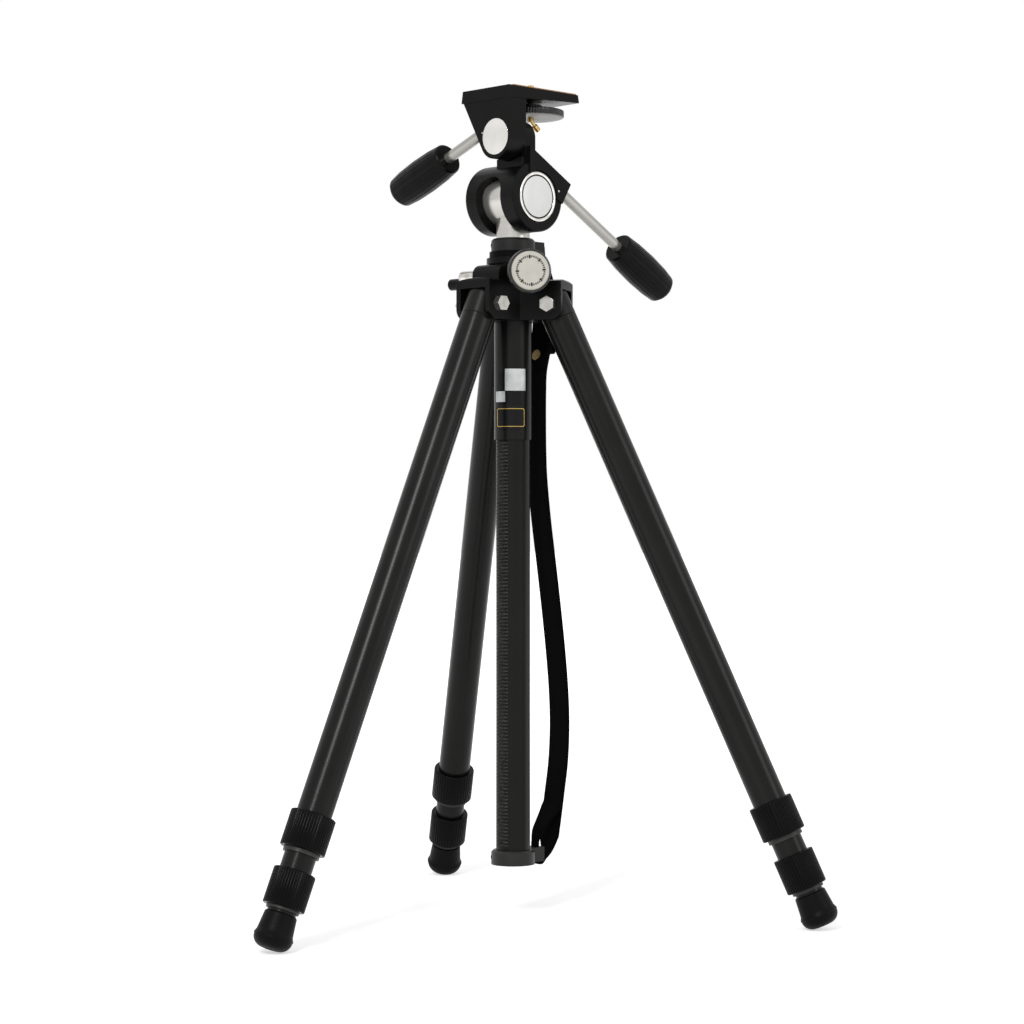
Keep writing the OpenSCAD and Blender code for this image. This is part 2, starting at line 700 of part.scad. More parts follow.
module pinion_bushes() color(BRASS) in_pinion() {
    difference() {
        along_x(bush_ring_r, -gear_case_left, -pinion_cavity_len / 2);
        along_x(shaft_r + run_gap, -gear_case_left - 1, 0);
    }
    difference() {
        along_x(bush_ring_r, pinion_cavity_len / 2, gear_case_right - 2 - fit_gap);
        along_x(shaft_r + run_gap, 0, gear_case_right);
    }
}

module clamp_shoe() color(PALE) difference() {
    in_knob() along_x(shoe_r, column_r - 2, column_r + shoe_len);
    rod_z(column_r + run_gap, cheek_z0, flange_z1);
}

// ---------- lock knob ----------

module lock_knob() color(BLACK) in_knob() difference() {
    translate([knob_back, 0, 0]) rotate([0, 90, 0]) turned([[0, 0], [knob_d / 2, 0],
        [knob_d / 2, knob_t - 1 - knob_chamfer], [knob_d / 2 - knob_chamfer, knob_t - 1], [0, knob_t - 1]]);
    along_x(knob_face_d / 2 + fit_gap, knob_reach - face_depth, knob_reach);
    along_x(lock_screw_r + fit_gap, knob_back - 1, knob_back + screw_depth);
}

module lock_knob_face() color(PALE) in_knob() translate([knob_reach - face_depth + fit_gap, 0, 0])
    rotate([0, 90, 0]) turned([[0, 0], [knob_face_d / 2, 0], [knob_face_d / 2, face_edge],
        [knob_face_d / 2 - face_chamfer, face_depth - fit_gap], [0, face_depth - fit_gap]]);

module lock_screw() color(SILVER) in_knob()
    along_x(lock_screw_r, column_r + shoe_len + fit_gap, knob_back + screw_depth - fit_gap);

// ---------- pinion and crank ----------

// One tooth of the pinion, pointing up, as a side view
module pinion_tooth() polygon([
    [-0.95, pinion_r - tooth_ded - 0.3], [-0.85, pinion_r - tooth_ded + 0.2], [-0.55, pinion_r],
    [-0.25, pinion_r + tooth_add], [0.25, pinion_r + tooth_add], [0.55, pinion_r],
    [0.85, pinion_r - tooth_ded + 0.2], [0.95, pinion_r - tooth_ded - 0.3]]);

module pinion() color(SILVER) in_pinion() {
    slab_x(-pinion_len / 2, pinion_len / 2) {
        circle(r = pinion_r - tooth_ded);
        for (k = [0 : pinion_teeth - 1]) rotate(k * 360 / pinion_teeth - 90) pinion_tooth();
    }
    along_x(shaft_r, crank_x + crank_arm_t, gear_case_right - 3);
}

module in_crank() in_pinion() rotate([-crank_angle, 0, 0]) children();

module crank_arm() color(SILVER) in_crank() difference() {
    union() {
        along_x(crank_hub_d / 2, crank_x, -gear_case_left - seat_gap);
        // The arm leans outward from the hub to the grip's pin
        translate([crank_x, 0, 0]) linear_extrude(crank_hub_d * 0.7, center = true) polygon([
            [0, 0], [crank_arm_t, 0], [crank_arm_t, 3], [crank_arm_t - crank_lean, crank_throw],
            [-crank_lean, crank_throw]]);
        translate([0, crank_throw, 0]) {
            along_x(crank_hub_d * 0.45, crank_x - crank_lean, crank_x - crank_lean + crank_arm_t);
            along_x(crank_pin_r, crank_x - crank_lean - crank_grip_len + 3, crank_x - crank_lean + 1);
        }
    }
    along_x(shaft_r + fit_gap, crank_x + crank_arm_t - fit_gap, 0);
}

module crank_grip() color(RUBBER) in_crank()
    translate([crank_x - crank_lean - crank_grip_gap, crank_throw, 0]) rotate([0, -90, 0]) difference() {
        turned([[0, 0], [crank_grip_d / 2 - 1, 0], [crank_grip_d / 2, 1],
            [crank_grip_d / 2, crank_grip_len - 2.5], [crank_grip_d / 2 - 2.5, crank_grip_len],
            [0, crank_grip_len]]);
        rod_z(crank_pin_r + run_gap, -1, crank_grip_len - 2);
    }

// ---------- column ----------

// Side view of everything that the rack's tooth gaps take from the column's front
module rack_gap() polygon([
    [-column_r - 1, -rack_gap_tip], [-column_r, -rack_gap_tip], [-column_r + rack_depth, -rack_gap_root],
    [-column_r + rack_depth, rack_gap_root], [-column_r, rack_gap_tip], [-column_r - 1, rack_gap_tip]]);

module column_tube() color(GREY) difference() {
    ring(column_r, column_r - column_wall, cap_z0 + cap_floor, collar_z1);
    slab_x(-column_r, column_r)
        for (k = [-floor((pinion_z - cap_z1 - 2) / rack_pitch) : 3])
            translate([0, pinion_z + k * rack_pitch]) rack_gap();
}

// A ring on the column with a slotted lug behind it. The strap wraps a bar between the lug's ears
module lug_ring(z0, z1, lug_z1, bar_z) difference() {
    union() {
        rod_z(ring_d / 2, z0, z1 - ring_chamfer);
        translate([0, 0, z1 - ring_chamfer])
            cylinder(r1 = ring_d / 2, r2 = ring_d / 2 - ring_chamfer, h = ring_chamfer);
        translate([-lug_w / 2, 0, z0]) cube([lug_w, lug_reach, lug_z1 - z0]);
    }
    rod_z(column_r + fit_gap, z0 + cap_floor, z1 + 1);
    slab_x(-lug_slot_len / 2, lug_slot_len / 2) polygon([
        [lug_slot_y, z0 - 1], [slot_out_y, z0 - 1], [slot_out_y, bar_z],
        [lug_reach + 1, bar_z], [lug_reach + 1, z1 + 1], [lug_slot_y, z1 + 1]]);
}

module column_top_collar() color(BLACK) difference() {
    lug_ring(column_z1, collar_z1, lug_top, lug_bar_z);
    rod_z(column_r + fit_gap, column_z1 - 1, column_z1 + cap_floor + 1);
    collar_screw_holes(collar_z1 - top_collar_h / 2);
}

module column_bottom_cap() color(BLACK) difference() {
    lug_ring(cap_z0, cap_z1, cap_z1, cap_z1 + 0.5);
    collar_screw_holes(cap_z0 + cap_h / 2);
}

// Two small screws on the left of each ring hold it on the tube
module at_collar_screws(z) for (a = COLLAR_SCREW_AZIMUTHS) translate([0, 0, z]) rotate([0, 0, a]) children();
module collar_screw_holes(z) at_collar_screws(z) along_x(collar_screw_r + fit_gap, column_r, ring_d);
module collar_screws() color(SILVER) for (z = [collar_z1 - top_collar_h / 2, cap_z0 + cap_h / 2])
    at_collar_screws(z) along_x(collar_screw_r, column_r + 2 * fit_gap, ring_d / 2 + collar_screw_proud);

// The strap's outline from behind: narrow at the lugs, and full width from z_wide upwards
module strap_front(z_narrow, z_wide) {
    half = strap_w / 2;
    end = strap_end_w / 2;
    polygon([
        [-end, strap_low_z - 3], [end, strap_low_z - 3], [end, z_narrow], [half, z_wide],
        [half, column_z1 - 24], [end, column_z1 - 1.5], [end, strap_top_z + 3],
        [-end, strap_top_z + 3], [-end, column_z1 - 1.5], [-half, column_z1 - 24],
        [-half, z_wide], [-end, z_narrow]]);
}

module carry_strap() color(RUBBER) {
    difference() {
        intersection() {
            slab_x(-strap_w / 2, strap_w / 2) {
                band(STRAP_MAIN, strap_t);
                band(STRAP_INNER, strap_t);
                band(STRAP_CURL, strap_t);
            }
            slab_y(0, 100) strap_front(cap_z0 + 2, cap_z1 + 8);
        }
        // Where it passes through the lower lug it stays as narrow as its end
        for (side = [0, 1]) mirror([side, 0, 0])
            translate([strap_end_w / 2 - strap_step, column_r, 0])
                cube([strap_w, lug_reach + 0.4 - column_r, cap_z1 + 5]);
    }
    intersection() {
        slab_x(strap_step - strap_w / 2, strap_w / 2 - strap_step) band(STRAP_FLAP, strap_t);
        slab_y(0, 100) strap_front(cap_z1 + 5, cap_z1 + 32);
    }
}

// The rivet's head lies on the strap's inner face, square to it
module strap_rivet() color(BRASS) translate([0, rivet_y, rivet_z]) rotate([-rivet_tilt, 0, 0])
    along_y(rivet_r, -strap_t / 2 - rivet_head_t, -strap_t / 2 - fit_gap);

module pan_spigot() color(SILVER) {
    plug_r = column_r - column_wall - fit_gap;
    rod_z(plug_r, collar_z1 - spigot_plug_len, collar_z1);
    rod_z(spigot_r, collar_z1, collar_z1 + spigot_len);
}

// ---------- head ----------

module pan_stem() color(SILVER) difference() {
    union() {
        rod_z(stem_r, collar_z1 + seat_gap, tilt_z);
        translate([0, 0, tilt_z]) along_x(drum_r, -drum_half, drum_half);
    }
    rod_z(spigot_r + run_gap, collar_z1, collar_z1 + spigot_len + 0.5);
}

// Side view of the slot between its two ends
slot_reach = 2 * housing_r;
module slot_sector() polygon(concat([[0, 0]],
    [for (a = [slot_front : -15 : -slot_rear]) slot_reach * [-cos(a), sin(a)]],
    [slot_reach * [-cos(slot_rear), -sin(slot_rear)]]));

// The housing's slot lets the stem through, with a round end at the front and at the rear
module slot() {
    slab_x(-slot_half, slot_half) slot_sector();
    for (a = [slot_front, -slot_rear]) rotate([90 - a, 0, 0]) rod_z(slot_end_r, 0, slot_reach);
}

// The frame of the tilt handle: its rod runs along +Y from the tilt axis
module in_tilt_handle() translate([tilt_handle_x, 0, tilt_z]) rotate([-tilt_handle_drop, 0, 0])
    translate([0, 0, tilt_handle_off]) children();

module housing_body() {
    translate([-housing_half + housing_round, 0, 0]) rotate([0, 90, 0]) turned([
        [0, 0], [housing_r, 0], [housing_r, housing_len - housing_round - housing_chamfer],
        [housing_r - housing_chamfer, housing_len - housing_round], [0, housing_len - housing_round]]);
    translate([-housing_half + housing_round, 0, 0]) rotate([0, -90, 0]) rotate_extrude() {
        square([housing_r - housing_round, housing_round]);
        intersection() {
            translate([housing_r - housing_round, 0]) circle(r = housing_round);
            square([housing_r, housing_round]);
        }
    }
}

module upright() {
    half = meet_share * upright_r;
    translate([side_x, 0, side_z]) along_y(upright_r, upright_y0, upright_y1);
    translate([side_x - half, upright_y0, tilt_z]) cube([2 * half, upright_t, side_rise]);
    // A saddle in front of it, below the platform's round boss
    difference() {
        translate([side_x - half, pad_front, tilt_z])
            cube([2 * half, upright_y0 + 1 - pad_front, pad_top + saddle_rise - tilt_z]);
        translate([side_x, 0, side_z])
            along_y(bracket_sweep + sweep_gap, pad_front - 1, upright_y0 + 2);
    }
}

// The block that holds the tilt handle, along the handle and clear of the badge
module handle_boss() difference() {
    translate([0, 0, tilt_z]) rotate([-tilt_handle_drop, 0, 0])
        translate([slot_half, -housing_r, handle_boss_foot])
            cube([housing_half + boss_proud - slot_half, housing_r + handle_boss_end,
                handle_boss_top - handle_boss_foot]);
    translate([0, handle_boss_front - housing_len, tilt_z - housing_len])
        cube([housing_len, housing_len, 2 * housing_len]);
}

module tilt_housing() color(BLACK) difference() {
    union() {
        translate([0, 0, tilt_z]) housing_body();
        upright();
        handle_boss();
    }
    translate([0, 0, tilt_z]) {
        along_x(drum_r + run_gap, -drum_half - 0.5, housing_half);
        along_x(counterbore_r, housing_half - counterbore_depth, housing_half + boss_proud + 1);
        slot();
    }
    in_tilt_handle() along_y(rod_r + run_gap, rod_inset - 1, rod_bore_end);
    translate([side_x, 0, side_z]) along_y(side_stub_r + fit_gap, upright_y0 - 1, upright_y1 + 1);
    handle_screw_place() along_x(set_screw_r + fit_gap, -set_screw_len - 1, 1);
}

module handle_screw_place() translate([housing_half + boss_proud, 0, tilt_z])
    rotate([-tilt_handle_drop, 0, 0]) translate([0, set_screw_at[0], set_screw_at[1]]) children();

module handle_set_screw() color(SILVER) handle_screw_place() along_x(set_screw_r, -set_screw_len, 0);

// The ring and disc that close the housing's end
module tilt_badge() color(SILVER) translate([housing_half, 0, tilt_z]) {
    difference() {
        along_x(badge_d / 2, -badge_t, badge_proud);
        along_x(badge_disc_r + fit_gap, -badge_disc_t, badge_proud + 1);
    }
    along_x(badge_disc_r, -badge_disc_t + fit_gap, badge_proud - badge_recess);
}

module side_tilt_pin() color(SILVER) translate([side_x, 0, side_z]) {
    along_y(side_disc_r, bracket_y0 - 0.4, bracket_y0 + side_disc_t);
    along_y(side_pin_r, bracket_y0 + side_disc_t, upright_y0);
    along_y(side_stub_r, upright_y0, upright_y1);
}

// ---------- handles ----------

// A handle grip about Y: straight-ribbed rubber, fattest in the middle
module grip(y0) translate([0, y0, 0]) rotate([-90, 0, 0]) difference() {
    end_r = grip_end_d / 2;
    shoulder_r = (grip_end_d + grip_mid_d) / 4 + grip_shoulder;
    turned([[0, 0], [end_r - grip_chamfer, 0], [end_r, grip_chamfer],
        [shoulder_r, grip_len * 0.22], [grip_mid_d / 2, grip_len * 0.5],
        [shoulder_r, grip_len * 0.78], [end_r, grip_len - grip_dome],
        [end_r - grip_dome, grip_len], [0, grip_len]]);
    rod_z(rod_r + fit_gap, -1, grip_bore_len);
}

module tilt_handle_rod() color(SILVER) in_tilt_handle()
    along_y(rod_r, rod_inset, tilt_grip_at + grip_bore_len - 1);

module tilt_handle_grip() color(RUBBER) in_tilt_handle() grip(tilt_grip_at);

// The frame of the side handle: its rod runs along +Y from the side-tilt axis
module in_side_handle() translate([side_x, bracket_y0 + bracket_t / 2, side_z])
    rotate([0, 0, 90]) rotate([-side_handle_drop, 0, 0])
        translate([0, 0, side_handle_off]) children();

module side_handle_rod() color(SILVER) in_side_handle()
    along_y(rod_r, rod_inset, side_grip_at + grip_bore_len - 1);

module side_handle_grip() color(RUBBER) in_side_handle() grip(side_grip_at);

// ---------- platform ----------

// The plate: flared skirt on all sides, and shallower towards its rear end
module plate() intersection() {
    half = plate_w / 2;
    slab_y(-plate_front - plate_w, plate_back + plate_w) polygon([
        [-half, plate_z1], [half, plate_z1],
        [half + skirt_flare, plate_z0], [-half - skirt_flare, plate_z0]]);
    slab_x(-plate_w, plate_w) polygon([
        [-plate_front, plate_z1], [plate_back, plate_z1],
        [plate_back + skirt_flare, plate_z0 + skirt_taper], [-plate_front - skirt_flare, plate_z0]]);
}

// Front view of the bracket: its slanting left edge touches its round boss
module bracket_side() translate([bracket_x, side_z - boss_drop]) {
    corner = [1 - plate_w / 2 - bracket_x, plate_z0 - side_z + boss_drop];
    turn = atan2(corner[1], corner[0]) + acos(bracket_r / norm(corner));
    right = meet_share * bracket_r;
    circle(r = bracket_r);
    polygon([[0, 0], right * [cos(turn), sin(turn)], corner, [corner[0], corner[1] + 1],
        [right, corner[1] + 1], [right, 0]]);
}

module platform() color(BLACK) difference() {
    union() {
        plate();
        slab_y(bracket_y0, bracket_y1) bracket_side();
    }
    translate([side_x, 0, side_z]) {
        along_y(side_pin_r + run_gap, bracket_y0 - 1, bracket_y1 + 1);
        along_y(side_disc_r + run_gap, bracket_y0 - 1, bracket_y0 + side_disc_t + run_gap);
    }
    in_side_handle() along_y(rod_r + run_gap, rod_inset - 1, rod_bore_end);
    translate([0, screw_y, 0]) rod_z(screw_r + screw_room, plate_z0 - 1, plate_z1 + 1);
}

module cork_pad() color(CORK) difference() {
    translate([-plate_w / 2 + cork_inset, -plate_front + cork_front_inset, plate_z1])
        cube([plate_w - 2 * cork_inset, plate_l - cork_inset - cork_front_inset, cork_t]);
    translate([0, screw_y, 0]) rod_z(screw_r + cork_room, plate_z1 - 1, plate_z1 + cork_t + 1);
}

// The brass screw with a small lever and knob below it
module camera_screw() color(BRASS) translate([0, screw_y, 0]) {
    screw_foot = plate_z1 + cork_t - 0.4;
    screw_end = plate_z1 + cork_t + screw_rise;
    rod_z(screw_neck_r, knob_bot_z - screw_stub, screw_foot);
    rod_z(screw_r, screw_foot, screw_end - screw_taper);
    translate([0, 0, screw_end - screw_taper])
        cylinder(r1 = screw_r, r2 = screw_r - screw_taper, h = screw_taper);
    translate([0, 0, knob_bot_z - 2]) rotate([-lever_angle, 0, 0]) {
        rod_z(lever_r, 0, lever_len);
        rod_z(lever_tip_r, lever_len + 1 - lever_tip_len, lever_len + 1);
    }
}

module camera_screw_knob() color(BLACK) translate([0, screw_y, 0]) {
    ring(screw_knob_d / 2, screw_neck_r + fit_gap, knob_bot_z, knob_top_z);
    ring(screw_collar_r, screw_neck_r + fit_gap, knob_top_z, under_screw_z - screw_collar_gap);
}

// ---------- drawing ----------

spider_casting();
guide_sleeve();
top_bush();
hinge_bolts();
label_plates();
pinion_bushes();
clamp_shoe();
lock_knob();
lock_knob_face();
lock_screw();
pinion();
crank_arm();
crank_grip();
column_tube();
column_top_collar();
column_bottom_cap();
collar_screws();
carry_strap();
strap_rivet();
pan_spigot();
pan_stem();
tilt_housing();
tilt_badge();
side_tilt_pin();
handle_set_screw();
tilt_handle_rod();
tilt_handle_grip();
side_handle_rod();
side_handle_grip();
platform();
cork_pad();
camera_screw();
camera_screw_knob();
for (i = [0 : len(LEG_NAMES) - 1]) {
    name = LEG_NAMES[i];
    leg_fitting(i);
    upper_tube(i);
    upper_collet(i);
    upper_collar(i);
    mid_tube(i);
    lower_collet(i);
    lower_collar(i);
    lower_tube(i);
    rubber_foot(i);
}
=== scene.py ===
"""Photographic tripod: looks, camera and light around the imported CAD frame. All in metres."""

import math

import bmesh
import bpy
from mathutils import Matrix, Vector
from mathutils.bvhtree import BVHTree


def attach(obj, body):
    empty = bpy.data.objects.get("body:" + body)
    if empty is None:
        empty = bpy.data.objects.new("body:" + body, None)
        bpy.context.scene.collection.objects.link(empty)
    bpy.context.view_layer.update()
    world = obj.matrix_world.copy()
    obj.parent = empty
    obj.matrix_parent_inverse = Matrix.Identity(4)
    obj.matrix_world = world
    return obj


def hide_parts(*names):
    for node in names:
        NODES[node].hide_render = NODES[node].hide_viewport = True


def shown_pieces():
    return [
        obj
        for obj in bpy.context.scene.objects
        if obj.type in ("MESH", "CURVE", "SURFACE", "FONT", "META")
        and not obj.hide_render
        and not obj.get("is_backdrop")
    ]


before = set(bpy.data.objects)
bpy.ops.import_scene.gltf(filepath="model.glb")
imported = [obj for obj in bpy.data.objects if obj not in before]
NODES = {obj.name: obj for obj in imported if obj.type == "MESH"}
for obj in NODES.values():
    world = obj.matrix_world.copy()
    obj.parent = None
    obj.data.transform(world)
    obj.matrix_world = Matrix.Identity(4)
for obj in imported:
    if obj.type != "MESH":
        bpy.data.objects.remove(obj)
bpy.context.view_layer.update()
SCENE = bpy.context.scene
MM = 0.001

# ---------- image points: x and y in the photograph, 1024 by 1024 ----------

W, H = 1024, 1024
POINTS = {
    "badge_disc": (536.6, 196.5),
    "knob_face": (529.8, 271.5),
    "bolt_left": (502.6, 302.6),
    "bolt_right": (546.8, 302.8),
    "crank_grip": (452.3, 284.8),
    "strap_rivet": (537.9, 354.2),
    "platform_dot": (482.3, 133.0),
    "handle_set_screw": (558.9, 191.5),
    "label_silver": (515.5, 379.6),
    "label_strip": (499.8, 396.7),
    "label_gold": (510.0, 417.5),
    "bottom_cap": (517.0, 857.5),
}

# ---------- camera ----------

CAMERA_SIDE = 45.62  # degrees from the front, towards the object's right
CAMERA_DISTANCE = 2.1648  # level distance from the column's axis
CAMERA_HEIGHT = 0.3416
CAMERA_SLIP = -0.0009  # sideways, to the camera's left of the axis
CAMERA_LENS = 90.0
SENSOR = 36.0

side = math.radians(CAMERA_SIDE)
CAMERA_BACK = Vector((math.sin(side), -math.cos(side), 0))
CAMERA_RIGHT = Vector((math.cos(side), math.sin(side), 0))
camera = bpy.data.objects.new("camera", bpy.data.cameras.new("camera"))
SCENE.collection.objects.link(camera)
camera.data.lens, camera.data.sensor_width = CAMERA_LENS, SENSOR
camera.data.sensor_fit = "AUTO"
camera.location = (
    CAMERA_BACK * CAMERA_DISTANCE
    + CAMERA_RIGHT * CAMERA_SLIP
    + Vector((0, 0, CAMERA_HEIGHT))
)
camera.rotation_euler = (-CAMERA_BACK).to_track_quat("-Z", "Y").to_euler()
camera.data.clip_start, camera.data.clip_end = 0.05, 60
SCENE.camera = camera
bpy.context.view_layer.update()


def ray_through(point):
    """The camera's place and the direction in which an image point lies."""
    reach = max(W, H)
    data = camera.data
    axes = Vector(
        (
            point[0] - W / 2 + data.shift_x * reach,
            H / 2 - point[1] + data.shift_y * reach,
            -reach * data.lens / data.sensor_width,
        )
    )
    world = camera.matrix_world
    return world.translation.copy(), (world.to_3x3() @ axes).normalized()


def seen_at(place):
    """The image point at which a place in the row frame shows."""
    reach = max(W, H)
    data = camera.data
    p = camera.matrix_world.inverted() @ Vector(place)
    scale = reach * data.lens / data.sensor_width / -p.z
    return (
        W / 2 - data.shift_x * reach + p.x * scale,
        H / 2 + data.shift_y * reach - p.y * scale,
    )


def tree_of(*objects):
    """One search tree of the finished shapes of these objects, in the row frame."""
    graph = bpy.context.evaluated_depsgraph_get()
    corners, faces = [], []
    for o in objects:
        done = o.evaluated_get(graph)
        mesh = done.to_mesh()
        base = len(corners)
        corners += [o.matrix_world @ v.co for v in mesh.vertices]
        faces += [[base + i for i in p.vertices] for p in mesh.polygons]
        done.to_mesh_clear()
    return BVHTree.FromPolygons(corners, faces)


RAY_START, RAY_STEP, RAY_STEPS = 1.4, 0.001, 1400  # start and step in metres, and a count


def put_on(point, carrier):
    """Where an image point's ray meets the carrier, with the surface's normal. A miss takes the
    place nearest the ray."""
    tree = tree_of(carrier)
    start, way = ray_through(point)
    place, normal, _, _ = tree.ray_cast(start, way)
    if place is None:
        steps = [start + way * (RAY_START + RAY_STEP * k) for k in range(RAY_STEPS)]
        place, normal, _, _ = min((tree.find_nearest(s) for s in steps), key=lambda hit: hit[3])
    return place, normal


# ---------- materials ----------


def node_at(tree, kind, **values):
    """A new shader node with these properties."""
    made = tree.nodes.new(kind)
    for key, value in values.items():
        setattr(made, key, value)
    return made


def math_node(tree, operation, first, second):
    """The result of a maths operation on two outputs."""
    made = node_at(tree, "ShaderNodeMath", operation=operation)
    tree.links.new(first, made.inputs[0])
    tree.links.new(second, made.inputs[1])
    return made.outputs[0]


def spread(tree, source, low, high, from_low=0.0, from_high=1.0):
    """Turns a factor into a number between two values."""
    made = node_at(tree, "ShaderNodeMapRange")
    for name, value in (
        ("From Min", from_low),
        ("From Max", from_high),
        ("To Min", low),
        ("To Max", high),
    ):
        made.inputs[name].default_value = value
    tree.links.new(source, made.inputs["Value"])
    return made.outputs["Result"]


def blend_colours(tree, factor, first, second):
    """A mix of two colours, each given as numbers or as an output."""
    made = node_at(tree, "ShaderNodeMix", data_type="RGBA")
    tree.links.new(factor, made.inputs["Factor"])
    for socket, colour in ((made.inputs["A"], first), (made.inputs["B"], second)):
        if isinstance(colour, bpy.types.NodeSocket):
            tree.links.new(colour, socket)
        else:
            socket.default_value = (*colour, 1)
    return made.outputs["Result"]


def new_material(name, metallic=0.0, specular=0.5):
    """A material with its node tree and its shader."""
    made = bpy.data.materials.new(name)
    made.use_nodes = True
    tree = made.node_tree
    shader = tree.nodes["Principled BSDF"]
    shader.inputs["Metallic"].default_value = metallic
    shader.inputs["Specular IOR Level"].default_value = specular
    return made, tree, shader


def coordinates(tree, stretch=(1, 1, 1), kind="Object"):
    """The piece's own coordinates, stretched."""
    source = node_at(tree, "ShaderNodeTexCoord")
    mapping = node_at(tree, "ShaderNodeMapping")
    mapping.inputs["Scale"].default_value = stretch
    tree.links.new(source.outputs[kind], mapping.inputs["Vector"])
    return mapping.outputs["Vector"]


def noise(tree, vector, scale, detail, roughness=0.5):
    """Soft noise, from 0 to 1."""
    made = node_at(tree, "ShaderNodeTexNoise")
    made.inputs["Scale"].default_value = scale
    made.inputs["Detail"].default_value = detail
    made.inputs["Roughness"].default_value = roughness
    tree.links.new(vector, made.inputs["Vector"])
    return made.outputs["Fac"]


def bands(tree, vector, scale, direction):
    """Even waves along a direction, from 0 to 1."""
    made = node_at(
        tree,
        "ShaderNodeTexWave",
        wave_type="BANDS",
        bands_direction=direction,
        wave_profile="SIN",
    )
    made.inputs["Scale"].default_value = scale
    tree.links.new(vector, made.inputs["Vector"])
    return made.outputs["Fac"]


def bumped(tree, shader, height, depth, strength=1.0, bevel=0.0):
    """Raises the shader's surface by a height, on edges rounded by the bevel."""
    bump = node_at(tree, "ShaderNodeBump")
    bump.inputs["Strength"].default_value = strength
    bump.inputs["Distance"].default_value = depth
    tree.links.new(height, bump.inputs["Height"])
    if bevel:
        rounded = node_at(tree, "ShaderNodeBevel", samples=4)
        rounded.inputs["Radius"].default_value = bevel
        tree.links.new(rounded.outputs["Normal"], bump.inputs["Normal"])
    tree.links.new(bump.outputs["Normal"], shader.inputs["Normal"])


def plain_surface(
    name,
    dark,
    light,
    rough,
    metallic=0.0,
    specular=0.5,
    patch=60,
    grain=1800,
    depth=0.00002,
    bevel=0.0,
):
    """A finish between two near colours in soft patches, with a fine grain in its height and its
    roughness. patch and grain are counts to the metre, and depth and bevel are in metres."""
    made, tree, shader = new_material(name, metallic, specular)
    own = coordinates(tree)
    tone = spread(tree, noise(tree, own, patch, 4), 0, 1, 0.3, 0.7)
    tree.links.new(blend_colours(tree, tone, dark, light), shader.inputs["Base Color"])
    fine = noise(tree, own, grain, 2)
    tree.links.new(spread(tree, fine, rough[0], rough[1], 0.3, 0.7), shader.inputs["Roughness"])
    bumped(tree, shader, fine, depth, 1.0, bevel)
    return made


def turned_metal(name, dark, light, rough, pitch, split=None):
    """Bright metal with the fine lines that a lathe leaves, pitch to the metre. Below the height
    split the lines run round Z, and above it round X."""
    made, tree, shader = new_material(name, metallic=0.8)
    own = coordinates(tree)
    streaks = [
        noise(tree, coordinates(tree, stretch), 1.0, 5, 0.65)
        for stretch in ((30, 30, pitch), (pitch, 30, 30))
    ]
    cut = streaks[0]
    if split is not None:
        height = node_at(tree, "ShaderNodeSeparateXYZ")
        tree.links.new(own, height.inputs[0])
        above = node_at(tree, "ShaderNodeMath", operation="GREATER_THAN")
        above.inputs[1].default_value = split
        tree.links.new(height.outputs["Z"], above.inputs[0])
        mix = node_at(tree, "ShaderNodeMix", data_type="FLOAT")
        tree.links.new(above.outputs[0], mix.inputs["Factor"])
        tree.links.new(streaks[0], mix.inputs["A"])
        tree.links.new(streaks[1], mix.inputs["B"])
        cut = mix.outputs["Result"]
    tone = spread(tree, cut, 0, 1, 0.3, 0.7)
    tree.links.new(blend_colours(tree, tone, dark, light), shader.inputs["Base Color"])
    tree.links.new(spread(tree, cut, rough[0], rough[1], 0.3, 0.7), shader.inputs["Roughness"])
    bumped(tree, shader, cut, 0.00001, 0.5, 0.0003)
    return made


BLACK_PAINT = plain_surface(
    "black_paint", (0.0030, 0.0030, 0.0028), (0.0042, 0.0042, 0.0040), (0.26, 0.36),
    specular=0.09, grain=1500, depth=0.00004, bevel=0.0006,
)
RING_PAINT = plain_surface(
    "ring_paint", (0.013, 0.013, 0.0122), (0.019, 0.019, 0.0178), (0.34, 0.46),
    specular=0.25, grain=1500, bevel=0.0005,
)
TOP_PAINT = plain_surface(
    "collar_paint", (0.0080, 0.0080, 0.0076), (0.0115, 0.0115, 0.0110), (0.34, 0.46),
    specular=0.2, grain=1500, bevel=0.0005,
)
BUSH_PLASTIC = plain_surface(
    "bush_plastic", (0.0004, 0.0004, 0.0004), (0.0009, 0.0009, 0.0009), (0.42, 0.55),
    specular=0.05, bevel=0.0004,
)
TUBE = plain_surface(
    "tube_anodised", (0.0062, 0.0061, 0.0056), (0.0086, 0.0084, 0.0078), (0.23, 0.28),
    specular=0.15, patch=35, grain=2600, depth=0.00001,
)
FITTING = plain_surface(
    "fitting_anodised", (0.0075, 0.0074, 0.0069), (0.0100, 0.0098, 0.0092), (0.28, 0.36),
    specular=0.15, grain=1800, bevel=0.0005,
)
LIP = plain_surface(
    "lip_plastic", (0.020, 0.020, 0.019), (0.030, 0.030, 0.028), (0.36, 0.5),
    specular=0.3, grain=900, bevel=0.0003,
)
COLLAR = plain_surface(
    "collar_plastic", (0.0010, 0.0010, 0.0010), (0.0018, 0.0018, 0.0018), (0.20, 0.30),
    specular=0.08, grain=1400,
)
RUBBER = plain_surface(
    "grip_rubber", (0.0020, 0.0020, 0.0019), (0.0034, 0.0034, 0.0032), (0.24, 0.34),
    specular=0.09, grain=1100, depth=0.00002,
)
FOOT = plain_surface(
    "foot_rubber", (0.0010, 0.0010, 0.0010), (0.0022, 0.0022, 0.0021), (0.40, 0.55),
    specular=0.09, grain=900, depth=0.00006, bevel=0.0004,
)
ROD = plain_surface(
    "rod_steel", (0.36, 0.35, 0.325), (0.40, 0.39, 0.365), (0.20, 0.26),
    metallic=0.7, specular=0.6, patch=20, grain=400, depth=0.000002,
)
